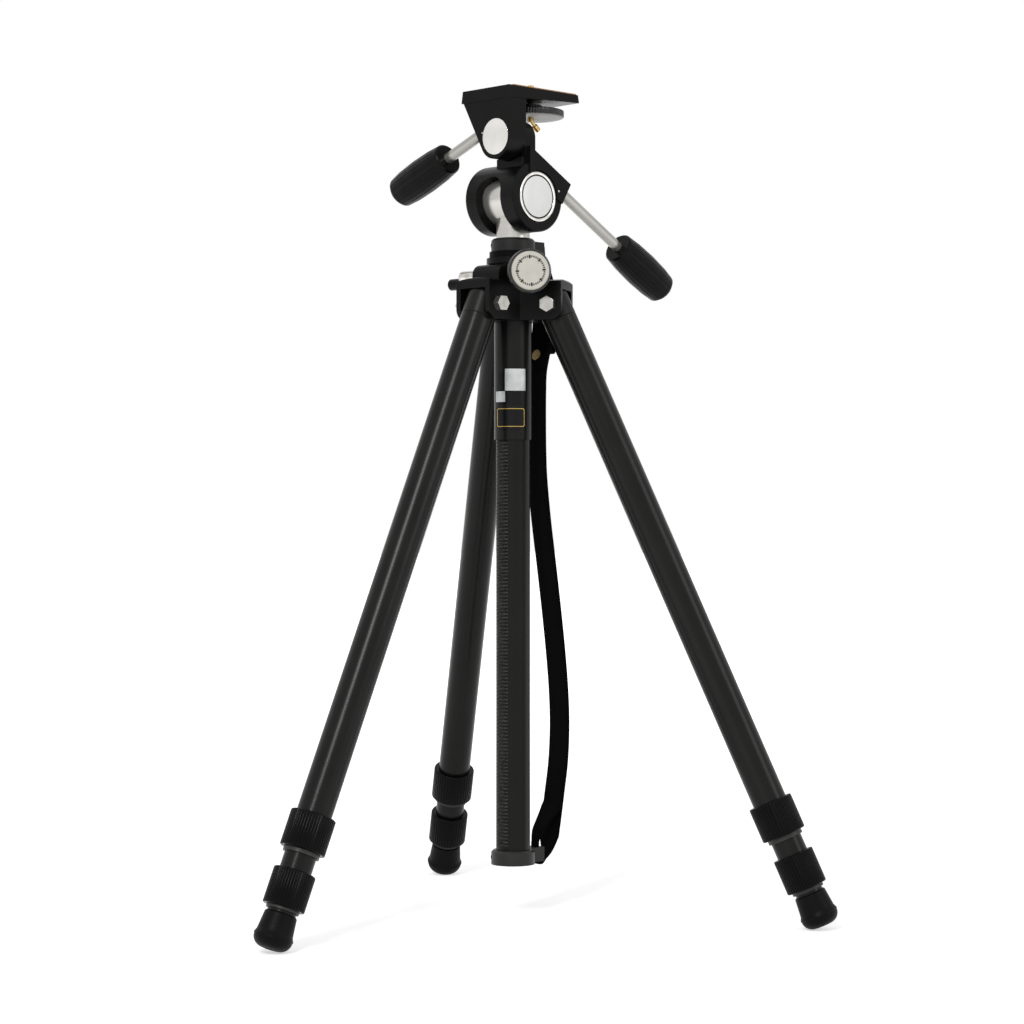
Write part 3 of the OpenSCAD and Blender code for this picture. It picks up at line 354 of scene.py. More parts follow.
DISC = plain_surface(
    "disc_steel", (0.68, 0.66, 0.62), (0.82, 0.81, 0.78), (0.05, 0.12),
    metallic=1.0, patch=40, grain=500, depth=0.00001, bevel=0.0004,
)
BOLT = plain_surface(
    "bolt_steel", (0.42, 0.405, 0.37), (0.60, 0.59, 0.56), (0.12, 0.22),
    metallic=0.9, patch=160, grain=700, depth=0.00001, bevel=0.0005,
)
CRANK = plain_surface(
    "crank_steel", (0.40, 0.38, 0.35), (0.72, 0.71, 0.67), (0.16, 0.34),
    metallic=1.0, patch=160, grain=900, bevel=0.0005,
)
BRASS = plain_surface(
    "brass", (0.42, 0.27, 0.085), (0.70, 0.50, 0.20), (0.24, 0.42),
    metallic=1.0, patch=240, grain=1200, bevel=0.0003,
)
RIVET = plain_surface(
    "rivet_brass", (0.16, 0.115, 0.05), (0.27, 0.20, 0.09), (0.30, 0.45),
    metallic=1.0, patch=500, grain=2200, bevel=0.0004,
)
FACE = plain_surface(
    "pale_face", (0.545, 0.530, 0.465), (0.600, 0.585, 0.520), (0.42, 0.55),
    specular=0.35, patch=120, grain=2000, bevel=0.0002,
)
RIM = plain_surface(
    "knurled_rim", (0.07, 0.07, 0.066), (0.20, 0.20, 0.19), (0.20, 0.36),
    metallic=1.0, patch=300, grain=1500,
)
RIM_FRONT = plain_surface(
    "knob_chamfer", (0.006, 0.006, 0.0058), (0.020, 0.020, 0.019), (0.22, 0.34),
    metallic=0.3, specular=0.5, patch=900, grain=1500,
)
SILVER_RING = plain_surface(
    "silver_ring", (0.60, 0.58, 0.54), (0.82, 0.81, 0.78), (0.12, 0.24),
    metallic=1.0, patch=160, grain=1500,
)
WHITE_DISC = plain_surface(
    "white_disc", (0.80, 0.80, 0.79), (0.86, 0.86, 0.85), (0.25, 0.36),
    specular=0.4, patch=80, grain=2200, depth=0.00001,
)
DARK_GROOVE = plain_surface(
    "dark_groove", (0.0030, 0.0030, 0.0030), (0.0070, 0.0070, 0.0068), (0.35, 0.50),
    specular=0.12, patch=400,
)
LABEL_BLACK = plain_surface(
    "label_black", (0.0030, 0.0030, 0.0030), (0.0048, 0.0048, 0.0048), (0.24, 0.32),
    specular=0.15, patch=200, grain=2500, depth=0.00001,
)
LABEL_SILVER = plain_surface(
    "label_silver", (0.42, 0.43, 0.43), (0.62, 0.63, 0.63), (0.30, 0.42),
    metallic=0.35, patch=90, grain=2400, depth=0.00001,
)
LABEL_GOLD = plain_surface(
    "label_gold", (0.50, 0.33, 0.06), (0.66, 0.46, 0.12), (0.30, 0.42),
    metallic=0.35, patch=200, grain=2400, depth=0.00001,
)
# The knob is black; this pale grey on its underside is a painted reflection of the white floor
# seen at a grazing angle.
KNOB_UNDERSIDE_PAINTED_REFLECTION = plain_surface(
    "knob_underside_painted_reflection", (0.19, 0.19, 0.185), (0.25, 0.25, 0.245), (0.34, 0.48),
    specular=0.4, patch=70, grain=1600, bevel=0.0003,
)
KNOB_RIM = plain_surface(
    "knob_ribs", (0.006, 0.006, 0.006), (0.014, 0.014, 0.0135), (0.26, 0.38),
    specular=0.35, patch=200, grain=1500,
)
DRUM_LOW = 0.5862  # the height at which the stem ends and the drum begins
STEM = turned_metal(
    "turned_aluminium", (0.51, 0.495, 0.465), (0.58, 0.565, 0.535), (0.20, 0.25), 1400,
    split=DRUM_LOW,
)
PINION = turned_metal("pinion_steel", (0.40, 0.39, 0.37), (0.62, 0.61, 0.58), (0.2, 0.34), 900)


def cork_material():
    """Pressed cork: cells of two browns with darker specks."""
    made, tree, shader = new_material("cork", specular=0.2)
    own = coordinates(tree)
    cells = node_at(tree, "ShaderNodeTexVoronoi", feature="F1")
    cells.inputs["Scale"].default_value = 620
    tree.links.new(own, cells.inputs["Vector"])
    speck = spread(tree, noise(tree, own, 900, 4, 0.7), 0, 1, 0.35, 0.65)
    grain = blend_colours(tree, cells.outputs["Color"], (0.50, 0.29, 0.13), (0.66, 0.43, 0.23))
    tree.links.new(
        blend_colours(tree, speck, grain, (0.34, 0.18, 0.08)),
        shader.inputs["Base Color"],
    )
    shader.inputs["Roughness"].default_value = 0.9
    bumped(tree, shader, cells.outputs["Distance"], 0.00012, 0.8)
    return made


def column_material(tooth_root, tube_radius):
    """The tube's finish, with bare worn metal in the rack's teeth below the tube's surface."""
    made, tree, shader = new_material("column_rack", specular=0.13)
    own = coordinates(tree)
    parts = node_at(tree, "ShaderNodeSeparateXYZ")
    tree.links.new(own, parts.inputs[0])
    flat = node_at(tree, "ShaderNodeCombineXYZ")
    tree.links.new(parts.outputs["X"], flat.inputs["X"])
    tree.links.new(parts.outputs["Y"], flat.inputs["Y"])
    radius = node_at(tree, "ShaderNodeVectorMath", operation="LENGTH")
    tree.links.new(flat.outputs[0], radius.inputs[0])
    bare = spread(
        tree,
        radius.outputs["Value"],
        1.0,
        0.0,
        tube_radius - 0.25 * MM,
        tube_radius - 0.12 * MM,
    )
    front = spread(tree, parts.outputs["Y"], 1.0, 0.0, -tooth_root, -tooth_root + 2 * MM)
    cut = math_node(tree, "MULTIPLY", bare, front)
    patch = spread(tree, noise(tree, own, 35, 4), 0, 1, 0.3, 0.7)
    paint = blend_colours(tree, patch, (0.0052, 0.0051, 0.0047), (0.0072, 0.0071, 0.0066))
    worn = spread(tree, noise(tree, own, 420, 4, 0.6), 0, 1, 0.32, 0.68)
    metal = blend_colours(tree, worn, (0.016, 0.016, 0.015), (0.085, 0.083, 0.077))
    tree.links.new(blend_colours(tree, cut, paint, metal), shader.inputs["Base Color"])
    tree.links.new(spread(tree, cut, 0.37, 0.30), shader.inputs["Roughness"])
    bumped(tree, shader, noise(tree, own, 2400, 2), 0.00001)
    return made


def webbing_material():
    """Woven nylon: ribs across the strap, a twill's slant and a closed edge, from its own map."""
    made, tree, shader = new_material("strap_webbing", specular=0.05)
    own = coordinates(tree, kind="UV")
    across = bands(tree, own, 170, "Y")
    slant = bands(tree, own, 250, "DIAGONAL")
    weave = math_node(tree, "MULTIPLY", across, slant)
    fuzz = noise(tree, own, 900, 3)
    tone = math_node(tree, "MULTIPLY", weave, fuzz)
    tree.links.new(
        blend_colours(tree, tone, (0.0006, 0.0006, 0.0006), (0.0034, 0.0034, 0.0034)),
        shader.inputs["Base Color"],
    )
    shader.inputs["Roughness"].default_value = 0.85
    bumped(tree, shader, weave, 0.00025, 0.9)
    return made


CORK = cork_material()
COLUMN = column_material(tooth_root=12.5 * MM, tube_radius=14.35 * MM)
WEBBING = webbing_material()

# ---------- mesh tools ----------

TINY = 1e-9  # below any real length: a turned profile's radius on the axis
MERGE = 1e-7  # corners closer than this are joined


def in_mm(profile):
    """A profile for lathe from [(radius, height, share)] in millimetres."""
    return [(radius * MM or TINY, height * MM, share) for radius, height, share in profile]


def finished(made, name):
    """A mesh of this name from a bmesh, which is freed."""
    mesh = bpy.data.meshes.new(name)
    made.to_mesh(mesh)
    made.free()
    return mesh


def bridge(made, first, second):
    """Faces between two rings of as many vertices."""
    for k, corner in enumerate(first):
        n = (k + 1) % len(first)
        made.faces.new((corner, first[n], second[n], second[k]))


def add_piece(name, mesh, material, body, smooth=38):
    """Puts a finished mesh in the scene, riding on a body."""
    mesh.validate()
    mesh.shade_smooth()
    if smooth:
        mesh.set_sharp_from_angle(angle=math.radians(smooth))
    made = bpy.data.objects.new(name, mesh)
    SCENE.collection.objects.link(made)
    mesh.materials.clear()
    mesh.materials.append(material)
    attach(made, body)
    return made


def local_points(node, place):
    """A node's corners in the axes of a place."""
    back = place.inverted()
    return [back @ v.co for v in NODES[node].data.vertices]


def outline(node, place):
    """A turned node's outer outline along its axis Z: [(height, radius)], from its own corners.
    What lies inside the line between its neighbours is a bore, and is left out."""
    step = 0.05 * MM
    widest = {}
    for p in local_points(node, place):
        key = round(p.z / step)
        r = math.hypot(p.x, p.y)
        if r > widest.get(key, (0, 0))[1]:
            widest[key] = (p.z, r)
    hull = []
    for h, r in (widest[k] for k in sorted(widest)):
        while len(hull) > 1:
            (h0, r0), (h1, r1) = hull[-2:]
            if (r1 - r0) * (h - h0) > (r - r0) * (h1 - h0):
                break
            hull.pop()
        hull.append((h, r))
    return hull


def bore(node, place, height, reach=0.4 * MM):
    """The radius of a turned node's bore at a height."""
    return min(
        math.hypot(p.x, p.y)
        for p in local_points(node, place)
        if abs(p.z - height) < reach
    )


def lathe(profile, place, count, shape=None):
    """A closed mesh turned about Z from [(radius, height, share)]. shape(turn) is how far in a
    point lies at a full share of a rib's depth, in metres, turn being in radians."""
    made = bmesh.new()
    rows = []
    for radius, height, share in profile:
        row = []
        for k in range(count):
            turn = 2 * math.pi * k / count
            r = radius - (share * shape(turn) if shape and share else 0)
            row.append(
                made.verts.new(place @ Vector((r * math.cos(turn), r * math.sin(turn), height)))
            )
        rows.append(row)
    for a, b in zip(rows, rows[1:] + rows[:1]):
        bridge(made, a, b)
    bmesh.ops.remove_doubles(made, verts=made.verts, dist=MERGE)
    bmesh.ops.recalc_face_normals(made, faces=made.faces)
    return finished(made, "turned")


def ribs(count, depth, ridge=0.5):
    """The depth below a rib's crest: ridge is the share of the pitch that the crest takes."""

    def shape(turn):
        """How far in a point lies at this turn."""
        t = (turn * count / (2 * math.pi)) % 1.0
        t = abs(t - 0.5) * 2  # 1 at the crest's middle, 0 at the groove's
        rise = min(1.0, t / (1 - ridge))
        return depth * (1 - rise * rise * (3 - 2 * rise))

    return shape


# ---------- frames of the CAD's parts ----------

LEGS = {"front": -90, "right": 30, "left": 150}  # degrees round the column
LEG_SPREAD = 24  # degrees from upright
HINGE_R, HINGE_Z = 35.9 * MM, 515.05 * MM
KNOB_Z, TILT_Z = 540.55 * MM, 605.75 * MM
SIDE_AXIS = Vector((11.75 * MM, -22.1 * MM, 654.75 * MM))
TILT_HANDLE_X, TILT_HANDLE_OFF, SIDE_HANDLE_OFF = 22 * MM, 23.6 * MM, 14.9 * MM
BADGE_X, SCREW_Y = 29.6 * MM, 21 * MM


def leg_place(name):
    """A leg's frame: its origin in the hinge, its Z up the leg."""
    return (
        Matrix.Rotation(math.radians(LEGS[name]), 4, "Z")
        @ Matrix.Translation((HINGE_R, 0, HINGE_Z))
        @ Matrix.Rotation(math.radians(-LEG_SPREAD), 4, "Y")
    )


def along(start, way):
    """A frame whose Z runs along way from start."""
    return Matrix.Translation(start) @ Vector(way).to_track_quat("Z", "Y").to_matrix().to_4x4()


KNOB_SIDE = math.radians(-30)
KNOB_WAY = Vector((math.cos(KNOB_SIDE), math.sin(KNOB_SIDE), 0))
KNOB_PLACE = along((0, 0, KNOB_Z), KNOB_WAY)
TILT_DROP = math.radians(30.3)
TILT_WAY = Vector((0, math.cos(TILT_DROP), -math.sin(TILT_DROP)))
TILT_UP = Vector((0, math.sin(TILT_DROP), math.cos(TILT_DROP)))
TILT_START = Vector((TILT_HANDLE_X, 0, TILT_Z)) + TILT_HANDLE_OFF * TILT_UP
TILT_PLACE = along(TILT_START, TILT_WAY)
SIDE_DROP = math.radians(21.4)
SIDE_WAY = Vector((-math.cos(SIDE_DROP), 0, -math.sin(SIDE_DROP)))
SIDE_UP = Vector((-math.sin(SIDE_DROP), 0, math.cos(SIDE_DROP)))
SIDE_START = SIDE_AXIS + SIDE_HANDLE_OFF * SIDE_UP
SIDE_PLACE = along(SIDE_START, SIDE_WAY)
BADGE_PLACE = along((BADGE_X, 0, TILT_Z), (1, 0, 0))
SCREW_PLACE = Matrix.Translation((0, SCREW_Y, 0))

# ---------- finishes of the CAD's own nodes ----------

FINISHES = {
    "spider_casting": BLACK_PAINT,
    "guide_sleeve": TUBE,
    "top_bush": BUSH_PLASTIC,
    "hinge_bolts": BOLT,
    "pinion_bushes": BRASS,
    "clamp_shoe": BOLT,
    "lock_screw": BOLT,
    "lock_knob_face": FACE,
    "pinion": PINION,
    "crank_arm": CRANK,
    "crank_grip": COLLAR,
    "column_tube": COLUMN,
    "column_top_collar": TOP_PAINT,
    "column_bottom_cap": RING_PAINT,
    "collar_screws": BUSH_PLASTIC,
    "strap_rivet": RIVET,
    "pan_spigot": STEM,
    "pan_stem": STEM,
    "tilt_housing": BLACK_PAINT,
    "side_tilt_pin": DISC,
    "handle_set_screw": BOLT,
    "tilt_handle_rod": ROD,
    "side_handle_rod": ROD,
    "platform": BLACK_PAINT,
    "cork_pad": CORK,
    "camera_screw": BRASS,
}
for leg in LEGS:
    FINISHES[f"leg_fitting_{leg}"] = FITTING
    for level in ("upper", "mid", "lower"):
        FINISHES[f"{level}_tube_{leg}"] = TUBE
    for level in ("upper", "lower"):
        FINISHES[f"{level}_collet_{leg}"] = LIP
    FINISHES[f"rubber_foot_{leg}"] = FOOT
for name, finish in FINISHES.items():
    node = NODES[name]
    if not node.material_slots:
        node.data.materials.append(finish)
    for slot in node.material_slots:
        slot.material = finish

# ---------- leg collars ----------

COLLAR_RIBS, COLLAR_RIB_DEPTH, COLLAR_RIDGE = 44, 0.55 * MM, 0.45
RIB_STEPS = 6  # corners round one rib


def ribbed_collar(node, leg):
    """A collar with fine ribs along it, on the CAD collar's own outline."""
    place = leg_place(leg)
    shape = outline(node, place)
    low, high = shape[0][0], shape[-1][0]
    radius = max(r for _, r in shape)
    inner = bore(node, place, low)
    edge, fade = 0.5 * MM, 1.0 * MM
    profile = [
        (inner, low, 0),
        (radius - 1.5 * MM, low, 0),
        (radius - 0.9 * MM, low + 0.05 * MM, 0),
        (radius - 0.25 * MM, low + edge, 0.6),
        (radius, low + fade, 1),
        (radius, high - fade, 1),
        (radius - 0.25 * MM, high - edge, 0.6),
        (radius - 0.9 * MM, high - 0.05 * MM, 0),
        (radius - 1.5 * MM, high, 0),
        (inner, high, 0),
    ]
    pattern = ribs(COLLAR_RIBS, COLLAR_RIB_DEPTH, COLLAR_RIDGE)
    mesh = lathe(profile, place, COLLAR_RIBS * RIB_STEPS, pattern)
    made = add_piece(f"ribbed_{node}", mesh, COLLAR, node, 50)
    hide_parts(node)


for leg in LEGS:
    for level in ("upper", "lower"):
        ribbed_collar(f"{level}_collar_{leg}", leg)

# ---------- handle grips ----------

GRIP_RIBS, GRIP_RIB_DEPTH, GRIP_RIDGE, GRIP_STEPS = 20, 0.4 * MM, 0.78, 8
GRIP_MOUTH = 1.2 * MM
GRIP_SHARES = [0.03, 0.055, 0.1, 0.16, 0.3, 0.4, 0.6, 0.7, 0.84, 0.9, 0.93]
GRIP_PLAIN, GRIP_FADE = 0.03, 0.06  # shares of the length: no ribs, then ribs rising


def ribbed_grip(node, place, body):
    """A handle grip: broad lands with narrow grooves between them, and smooth rounded ends."""
    shape = outline(node, place)
    low, high = shape[0][0], shape[-1][0]
    inner = bore(node, place, low)
    length = high - low

    def radius_at(height):
        """The outline's radius at a height."""
        for (h0, r0), (h1, r1) in zip(shape, shape[1:]):
            if h0 <= height <= h1:
                return r0 + (r1 - r0) * (height - h0) / max(h1 - h0, TINY)
        return shape[-1][1]

    profile = [(inner, low + 2 * GRIP_MOUTH, 0), (inner, low, 0)]
    own = [(h - low) / length for h, _ in shape]
    for share in sorted(own + GRIP_SHARES):
        at = low + share * length
        depth = min(1.0, max(0.0, (min(share, 1 - share) - GRIP_PLAIN) / GRIP_FADE))
        profile.append((radius_at(at), at, depth))
    end, dimple, blind = radius_at(high), high - 0.5 * MM, low + 3 * GRIP_MOUTH
    profile += [(end * 0.6, high, 0), (end * 0.55, dimple, 0), (TINY, dimple, 0)]
    profile += [(TINY, blind, 0), (inner, blind, 0)]
    pattern = ribs(GRIP_RIBS, GRIP_RIB_DEPTH, GRIP_RIDGE)
    mesh = lathe(profile, place, GRIP_RIBS * GRIP_STEPS, pattern)
    made = add_piece(f"ribbed_{node}", mesh, RUBBER, body, 40)
    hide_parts(node)


ribbed_grip("tilt_handle_grip", TILT_PLACE, "tilt_handle")
ribbed_grip("side_handle_grip", SIDE_PLACE, "side_handle")

# ---------- lock knob ----------

KNURLS, KNURL_DEPTH, KNURL_RIDGE = 64, 0.7 * MM, 0.3
DIAL_MARKS, LONG_EVERY, MARK_T = 40, 5, 0.1 * MM
LONG_MARK = (10.0 * MM, 12.9 * MM, 0.75 * MM)  # inner and outer radius, half width
SHORT_MARK = (10.9 * MM, 12.6 * MM, 0.5 * MM)


def knurled_knob():
    """The lock knob: a knurled metal rim with a dark front, bored for its screw and its face."""
    shape = outline("lock_knob", KNOB_PLACE)
    low, high = shape[0][0], shape[-1][0]
    radius = max(r for _, r in shape)
    face = outline("lock_knob_face", KNOB_PLACE)
    seat, face_r = face[0][0], max(r for _, r in face)
    hole = bore("lock_knob", KNOB_PLACE, low)
    profile = [
        (hole, low, 0),
        (radius - 2.2 * MM, low, 0),
        (radius - 1.0 * MM, low + 0.8 * MM, 0),
        (radius - 0.3 * MM, low + 1.4 * MM, 0.7),
        (radius, low + 2.0 * MM, 1),
        (radius, high - 1.5 * MM, 1),
        (radius - 0.25 * MM, high - 0.9 * MM, 0.8),
        (radius - 0.6 * MM, high - 0.4 * MM, 0.8),
        (radius - 1.1 * MM, high - 0.3 * MM, 0.7),
        (face_r + 0.5 * MM, high - 0.1 * MM, 0.3),
        (face_r + 0.15 * MM, high, 0),
        (face_r + 0.03 * MM, high - 0.15 * MM, 0),
        (face_r + 0.03 * MM, seat - 0.03 * MM, 0),
        (hole, seat - 0.03 * MM, 0),
    ]
    pattern = ribs(KNURLS, KNURL_DEPTH, KNURL_RIDGE)
    mesh = lathe(profile, KNOB_PLACE, KNURLS * RIB_STEPS, pattern)
    made = add_piece("knurled_lock_knob", mesh, RIM, "lock_knob", 30)
    mesh.materials.append(RIM_FRONT)
    back = KNOB_PLACE.inverted()
    for polygon in mesh.polygons:
        if (back @ polygon.center).z > high - 0.8 * MM:
            polygon.material_index = 1
    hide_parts("lock_knob")


knurled_knob()


def dial_marks():
    """A plain ring of short marks on the knob's face, in place of what the real one has there."""
    face = outline("lock_knob_face", KNOB_PLACE)
    top = face[-1][0] + 0.04 * MM
    made = bmesh.new()
    for k in range(DIAL_MARKS):
        turn = 2 * math.pi * (k + 0.5) / DIAL_MARKS
        inner, outer, half = LONG_MARK if k % LONG_EVERY == 0 else SHORT_MARK
        out = Vector((math.cos(turn), math.sin(turn), 0))
        across = Vector((-math.sin(turn), math.cos(turn), 0)) * half
        low, high = [
            [
                made.verts.new(KNOB_PLACE @ (out * r + across * s + Vector((0, 0, z))))
                for r, s in ((inner, -1), (outer, -1), (outer, 1), (inner, 1))
            ]
            for z in (top - MARK_T, top)
        ]
        made.faces.new(high)
        made.faces.new(low[::-1])
        bridge(made, low, high)
    mesh = finished(made, "marks")
    add_piece("knob_dial_marks", mesh, LABEL_BLACK, "lock_knob", 0)


dial_marks()

# ---------- badge on the tilt housing ----------

BEADS, BEAD_DEPTH, BEAD_RIDGE = 60, 0.25 * MM, 0.3
RING_STEPS, DISC_STEPS = 160, 128
RING_PROFILE = [
    (18.4, -3.9, 0), (20.95, -3.9, 0), (20.95, 0.1, 0), (20.7, 0.45, 0),
    (20.2, 0.6, 0), (19.2, 0.55, 0), (18.6, 0.3, 0), (18.4, 0.0, 0),
]
BEAD_PROFILE = [
    (17.25, -3.0, 0), (18.35, -3.0, 0), (18.35, -0.1, 0.3),
    (18.1, 0.12, 1), (17.55, 0.12, 1), (17.25, -0.05, 0.3),
]
DISC_PROFILE = [
    (0, -2.5, 0), (17.2, -2.5, 0), (17.2, 0.0, 0), (17.0, 0.14, 0),
    (16.75, 0.2, 0), (8, 0.26, 0), (0, 0.28, 0),
]


def badge():
    """A bright ring, a dark beaded ring inside it and a bare white disc."""
    ring = lathe(in_mm(RING_PROFILE), BADGE_PLACE, RING_STEPS)
    made = add_piece("badge_ring", ring, SILVER_RING, "tilt_housing")
    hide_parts("tilt_badge")
    pattern = ribs(BEADS, BEAD_DEPTH, BEAD_RIDGE)
    beads = lathe(in_mm(BEAD_PROFILE), BADGE_PLACE, BEADS * RIB_STEPS, pattern)
    add_piece("badge_beads", beads, DARK_GROOVE, "tilt_housing")
    disc = lathe(in_mm(DISC_PROFILE), BADGE_PLACE, DISC_STEPS)
    return add_piece("badge_disc", disc, WHITE_DISC, "tilt_housing")


badge_disc = badge()

# ---------- knob under the platform ----------

SCREW_RIBS, SCREW_RIB_DEPTH, SCREW_RIDGE = 72, 0.5 * MM, 0.5


def screw_knob():
    """The camera screw's knob: fine ribs round its rim, a hub on top and an underside painted
    pale as a painted reflection.
    """
    shape = outline("camera_screw_knob", SCREW_PLACE)
    radius = max(r for _, r in shape)
    rim = [h for h, r in shape if r > radius - 0.1 * MM]
    low, high = rim[0], rim[-1]
    hub_top, hub_r = shape[-1]
    hole = bore("camera_screw_knob", SCREW_PLACE, low, 2 * MM)
    profile = [
        (hole, low + 0.3 * MM, 0),
        (hole + 1 * MM, low + 0.3 * MM, 0),
        (hole + 2 * MM, low, 0),
        (radius - 2.2 * MM, low, 0),
        (radius - 1.2 * MM, low + 0.25 * MM, 0.3),
        (radius - 0.3 * MM, low + 0.6 * MM, 1),
        (radius, low + 1.1 * MM, 1),
        (radius, high - 1.0 * MM, 1),
        (radius - 0.4 * MM, high - 0.4 * MM, 0.8),
        (radius - 1.4 * MM, high, 0.2),
        (hub_r, high, 0),
        (hub_r, hub_top - 0.2 * MM, 0),
        (hub_r - 0.2 * MM, hub_top, 0),
        (hole, hub_top, 0),
    ]
    pattern = ribs(SCREW_RIBS, SCREW_RIB_DEPTH, SCREW_RIDGE)
    mesh = lathe(profile, SCREW_PLACE, SCREW_RIBS * RIB_STEPS, pattern)
    made = add_piece("ribbed_screw_knob", mesh, KNOB_RIM, "camera_screw", 32)
    # Faces that look down get the pale grey: a painted reflection of the floor, not the knob's
    # own colour.
    mesh.materials.append(KNOB_UNDERSIDE_PAINTED_REFLECTION)
    for polygon in mesh.polygons:
        if polygon.normal.z < -0.8:
            polygon.material_index = 1
    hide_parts("camera_screw_knob")


screw_knob()

# ---------- strap ----------

CAP_Z0, CAP_Z1 = 44.25 * MM, 56.35 * MM
COLUMN_Z1, COLLAR_Z1 = 561.25 * MM, 572.25 * MM
LUG_Y, LUG_SLOT, LUG_REACH = 24.4 * MM, 3.6 * MM, 31.5 * MM
LUG_BAR = COLLAR_Z1 - 5.4 * MM
STRAP_W, STRAP_END_W, STRAP_T = 23 * MM, 8 * MM, 2.3 * MM
WRAP = LUG_SLOT / 2
SLOT_MID, SLOT_OUT = LUG_Y + WRAP, LUG_Y + LUG_SLOT
STRAP_LOW = CAP_Z0 - WRAP


def arc(y, z, a0, a1):
    """Five points of the strap's turn round an edge, from one angle to another, in degrees."""
    turns = [math.radians(a0 + k * (a1 - a0) / 4) for k in range(5)]
    return [(y + WRAP * math.cos(a), z + WRAP * math.sin(a)) for a in turns]


def behind(points):
    """Places behind the column: y in millimetres, height as a share of the column's."""
    return [(y * MM, CAP_Z1 + share * (COLUMN_Z1 - CAP_Z1)) for y, share in points]


STRAP_BACK = [
    (44.5, 0.03), (50, 0.09), (54.2, 0.14), (56, 0.2), (54.8, 0.26), (51, 0.33),
    (46, 0.4), (40, 0.475), (33, 0.56), (28.8, 0.63), (27.8, 0.68), (27.7, 0.76),
    (28.6, 0.8), (31.6, 0.825), (35.2, 0.85), (37.4, 0.885), (38, 0.92), (36.6, 0.97),
]
STRAP_MAIN = (
    [(SLOT_MID, CAP_Z1 + 4 * MM)]
    + arc(SLOT_OUT, CAP_Z0, 180, 270)
    + [
        (LUG_REACH, STRAP_LOW),
        (LUG_REACH + 3.4 * MM, STRAP_LOW + 3 * MM),
        (LUG_REACH + 8.4 * MM, CAP_Z1 - 5 * MM),
    ]
    + behind(STRAP_BACK)
    + [(LUG_REACH + WRAP + 0.3 * MM, LUG_BAR - 4 * MM)]
    + arc(LUG_REACH, LUG_BAR, 0, 90)
    + arc(SLOT_OUT, LUG_BAR, 90, 180)
    + [(SLOT_MID, COLUMN_Z1 - 2 * MM)]
)
STRAP_FLAP = [
    (SLOT_MID, CAP_Z1 - 1 * MM),
    (SLOT_MID + 0.6 * MM, CAP_Z1 + 6 * MM),
    (SLOT_MID + 3.6 * MM, CAP_Z1 + 13.5 * MM),
    (36.6 * MM, CAP_Z1 + 21.5 * MM),
    (43.6 * MM, CAP_Z1 + 29.5 * MM),
    (48.2 * MM, CAP_Z1 + 36 * MM),
]
STRAP_INNER = [(SLOT_MID, COLUMN_Z1 + 1 * MM), (SLOT_MID + 0.5 * MM, COLUMN_Z1 - 4 * MM)]
STRAP_INNER += behind(
    [(33.2, 0.955), (35.7, 0.92), (35.2, 0.885), (33, 0.85), (29.4, 0.825), (27.2, 0.808)]
)
STRAP_CURL = behind([(38.8, 0.875), (39.4, 0.845), (38.4, 0.834), (36, 0.835), (34.4, 0.845)])

# Heights between which a run of the strap widens above the lower lug
MAIN_WIDENS = (CAP_Z0 + 2 * MM, CAP_Z1 + 8 * MM)
FLAP_WIDENS = (CAP_Z1 + 5 * MM, CAP_Z1 + 32 * MM)


def strap_half(y, z, widens):
    """Half the strap's width at a place: narrow at the lugs, full between them."""
    if y < LUG_REACH + 0.4 * MM and z < CAP_Z1 + 5 * MM:
        return STRAP_END_W / 2
    steps = [
        (widens[0], STRAP_END_W / 2),
        (widens[1], STRAP_W / 2),
        (COLUMN_Z1 - 24 * MM, STRAP_W / 2),
        (COLUMN_Z1 - 1.5 * MM, STRAP_END_W / 2),
    ]
    for (z0, w0), (z1, w1) in zip(steps, steps[1:]):
        if z0 < z <= z1:
            return w0 + (w1 - w0) * (z - z0) / (z1 - z0)
    return STRAP_END_W / 2


LINE_PITCH = 1.2 * MM


def smooth_line(points):
    """A smooth curve through the points (centripetal Catmull-Rom), in nearly even steps."""
    pts = [Vector(p) for p in points]
    pts = [pts[0] * 2 - pts[1]] + pts + [pts[-1] * 2 - pts[-2]]
    made = []
    for i in range(1, len(pts) - 2):
        p0, p1, p2, p3 = pts[i - 1 : i + 3]
        t0, t1 = 0.0, (p1 - p0).length ** 0.5
        t2 = t1 + (p2 - p1).length ** 0.5
        t3 = t2 + (p3 - p2).length ** 0.5
        count = max(2, round((p2 - p1).length / LINE_PITCH))
        for k in range(count):
            t = t1 + (t2 - t1) * k / count
            a1 = p0 * ((t1 - t) / (t1 - t0)) + p1 * ((t - t0) / (t1 - t0))
            a2 = p1 * ((t2 - t) / (t2 - t1)) + p2 * ((t - t1) / (t2 - t1))
            a3 = p2 * ((t3 - t) / (t3 - t2)) + p3 * ((t - t2) / (t3 - t2))
            b1 = a1 * ((t2 - t) / (t2 - t0)) + a2 * ((t - t0) / (t2 - t0))
            b2 = a2 * ((t3 - t) / (t3 - t1)) + a3 * ((t - t1) / (t3 - t1))
            made.append(b1 * ((t2 - t) / (t2 - t1)) + b2 * ((t - t1) / (t2 - t1)))
    made.append(pts[-2])
    return made


STRAP_FILL = 0.97  # of the strap's thickness, so that laid runs don't touch
# Across the strap: share of the half width, and share of the half thickness
STRAP_SECTION = [
    (-1.0, 0.35), (-0.965, 0.8), (-0.9, 1.0), (-0.6, 0.96), (-0.3, 0.93), (0, 0.92),
    (0.3, 0.93), (0.6, 0.96), (0.9, 1.0), (0.965, 0.8), (1.0, 0.35),
]


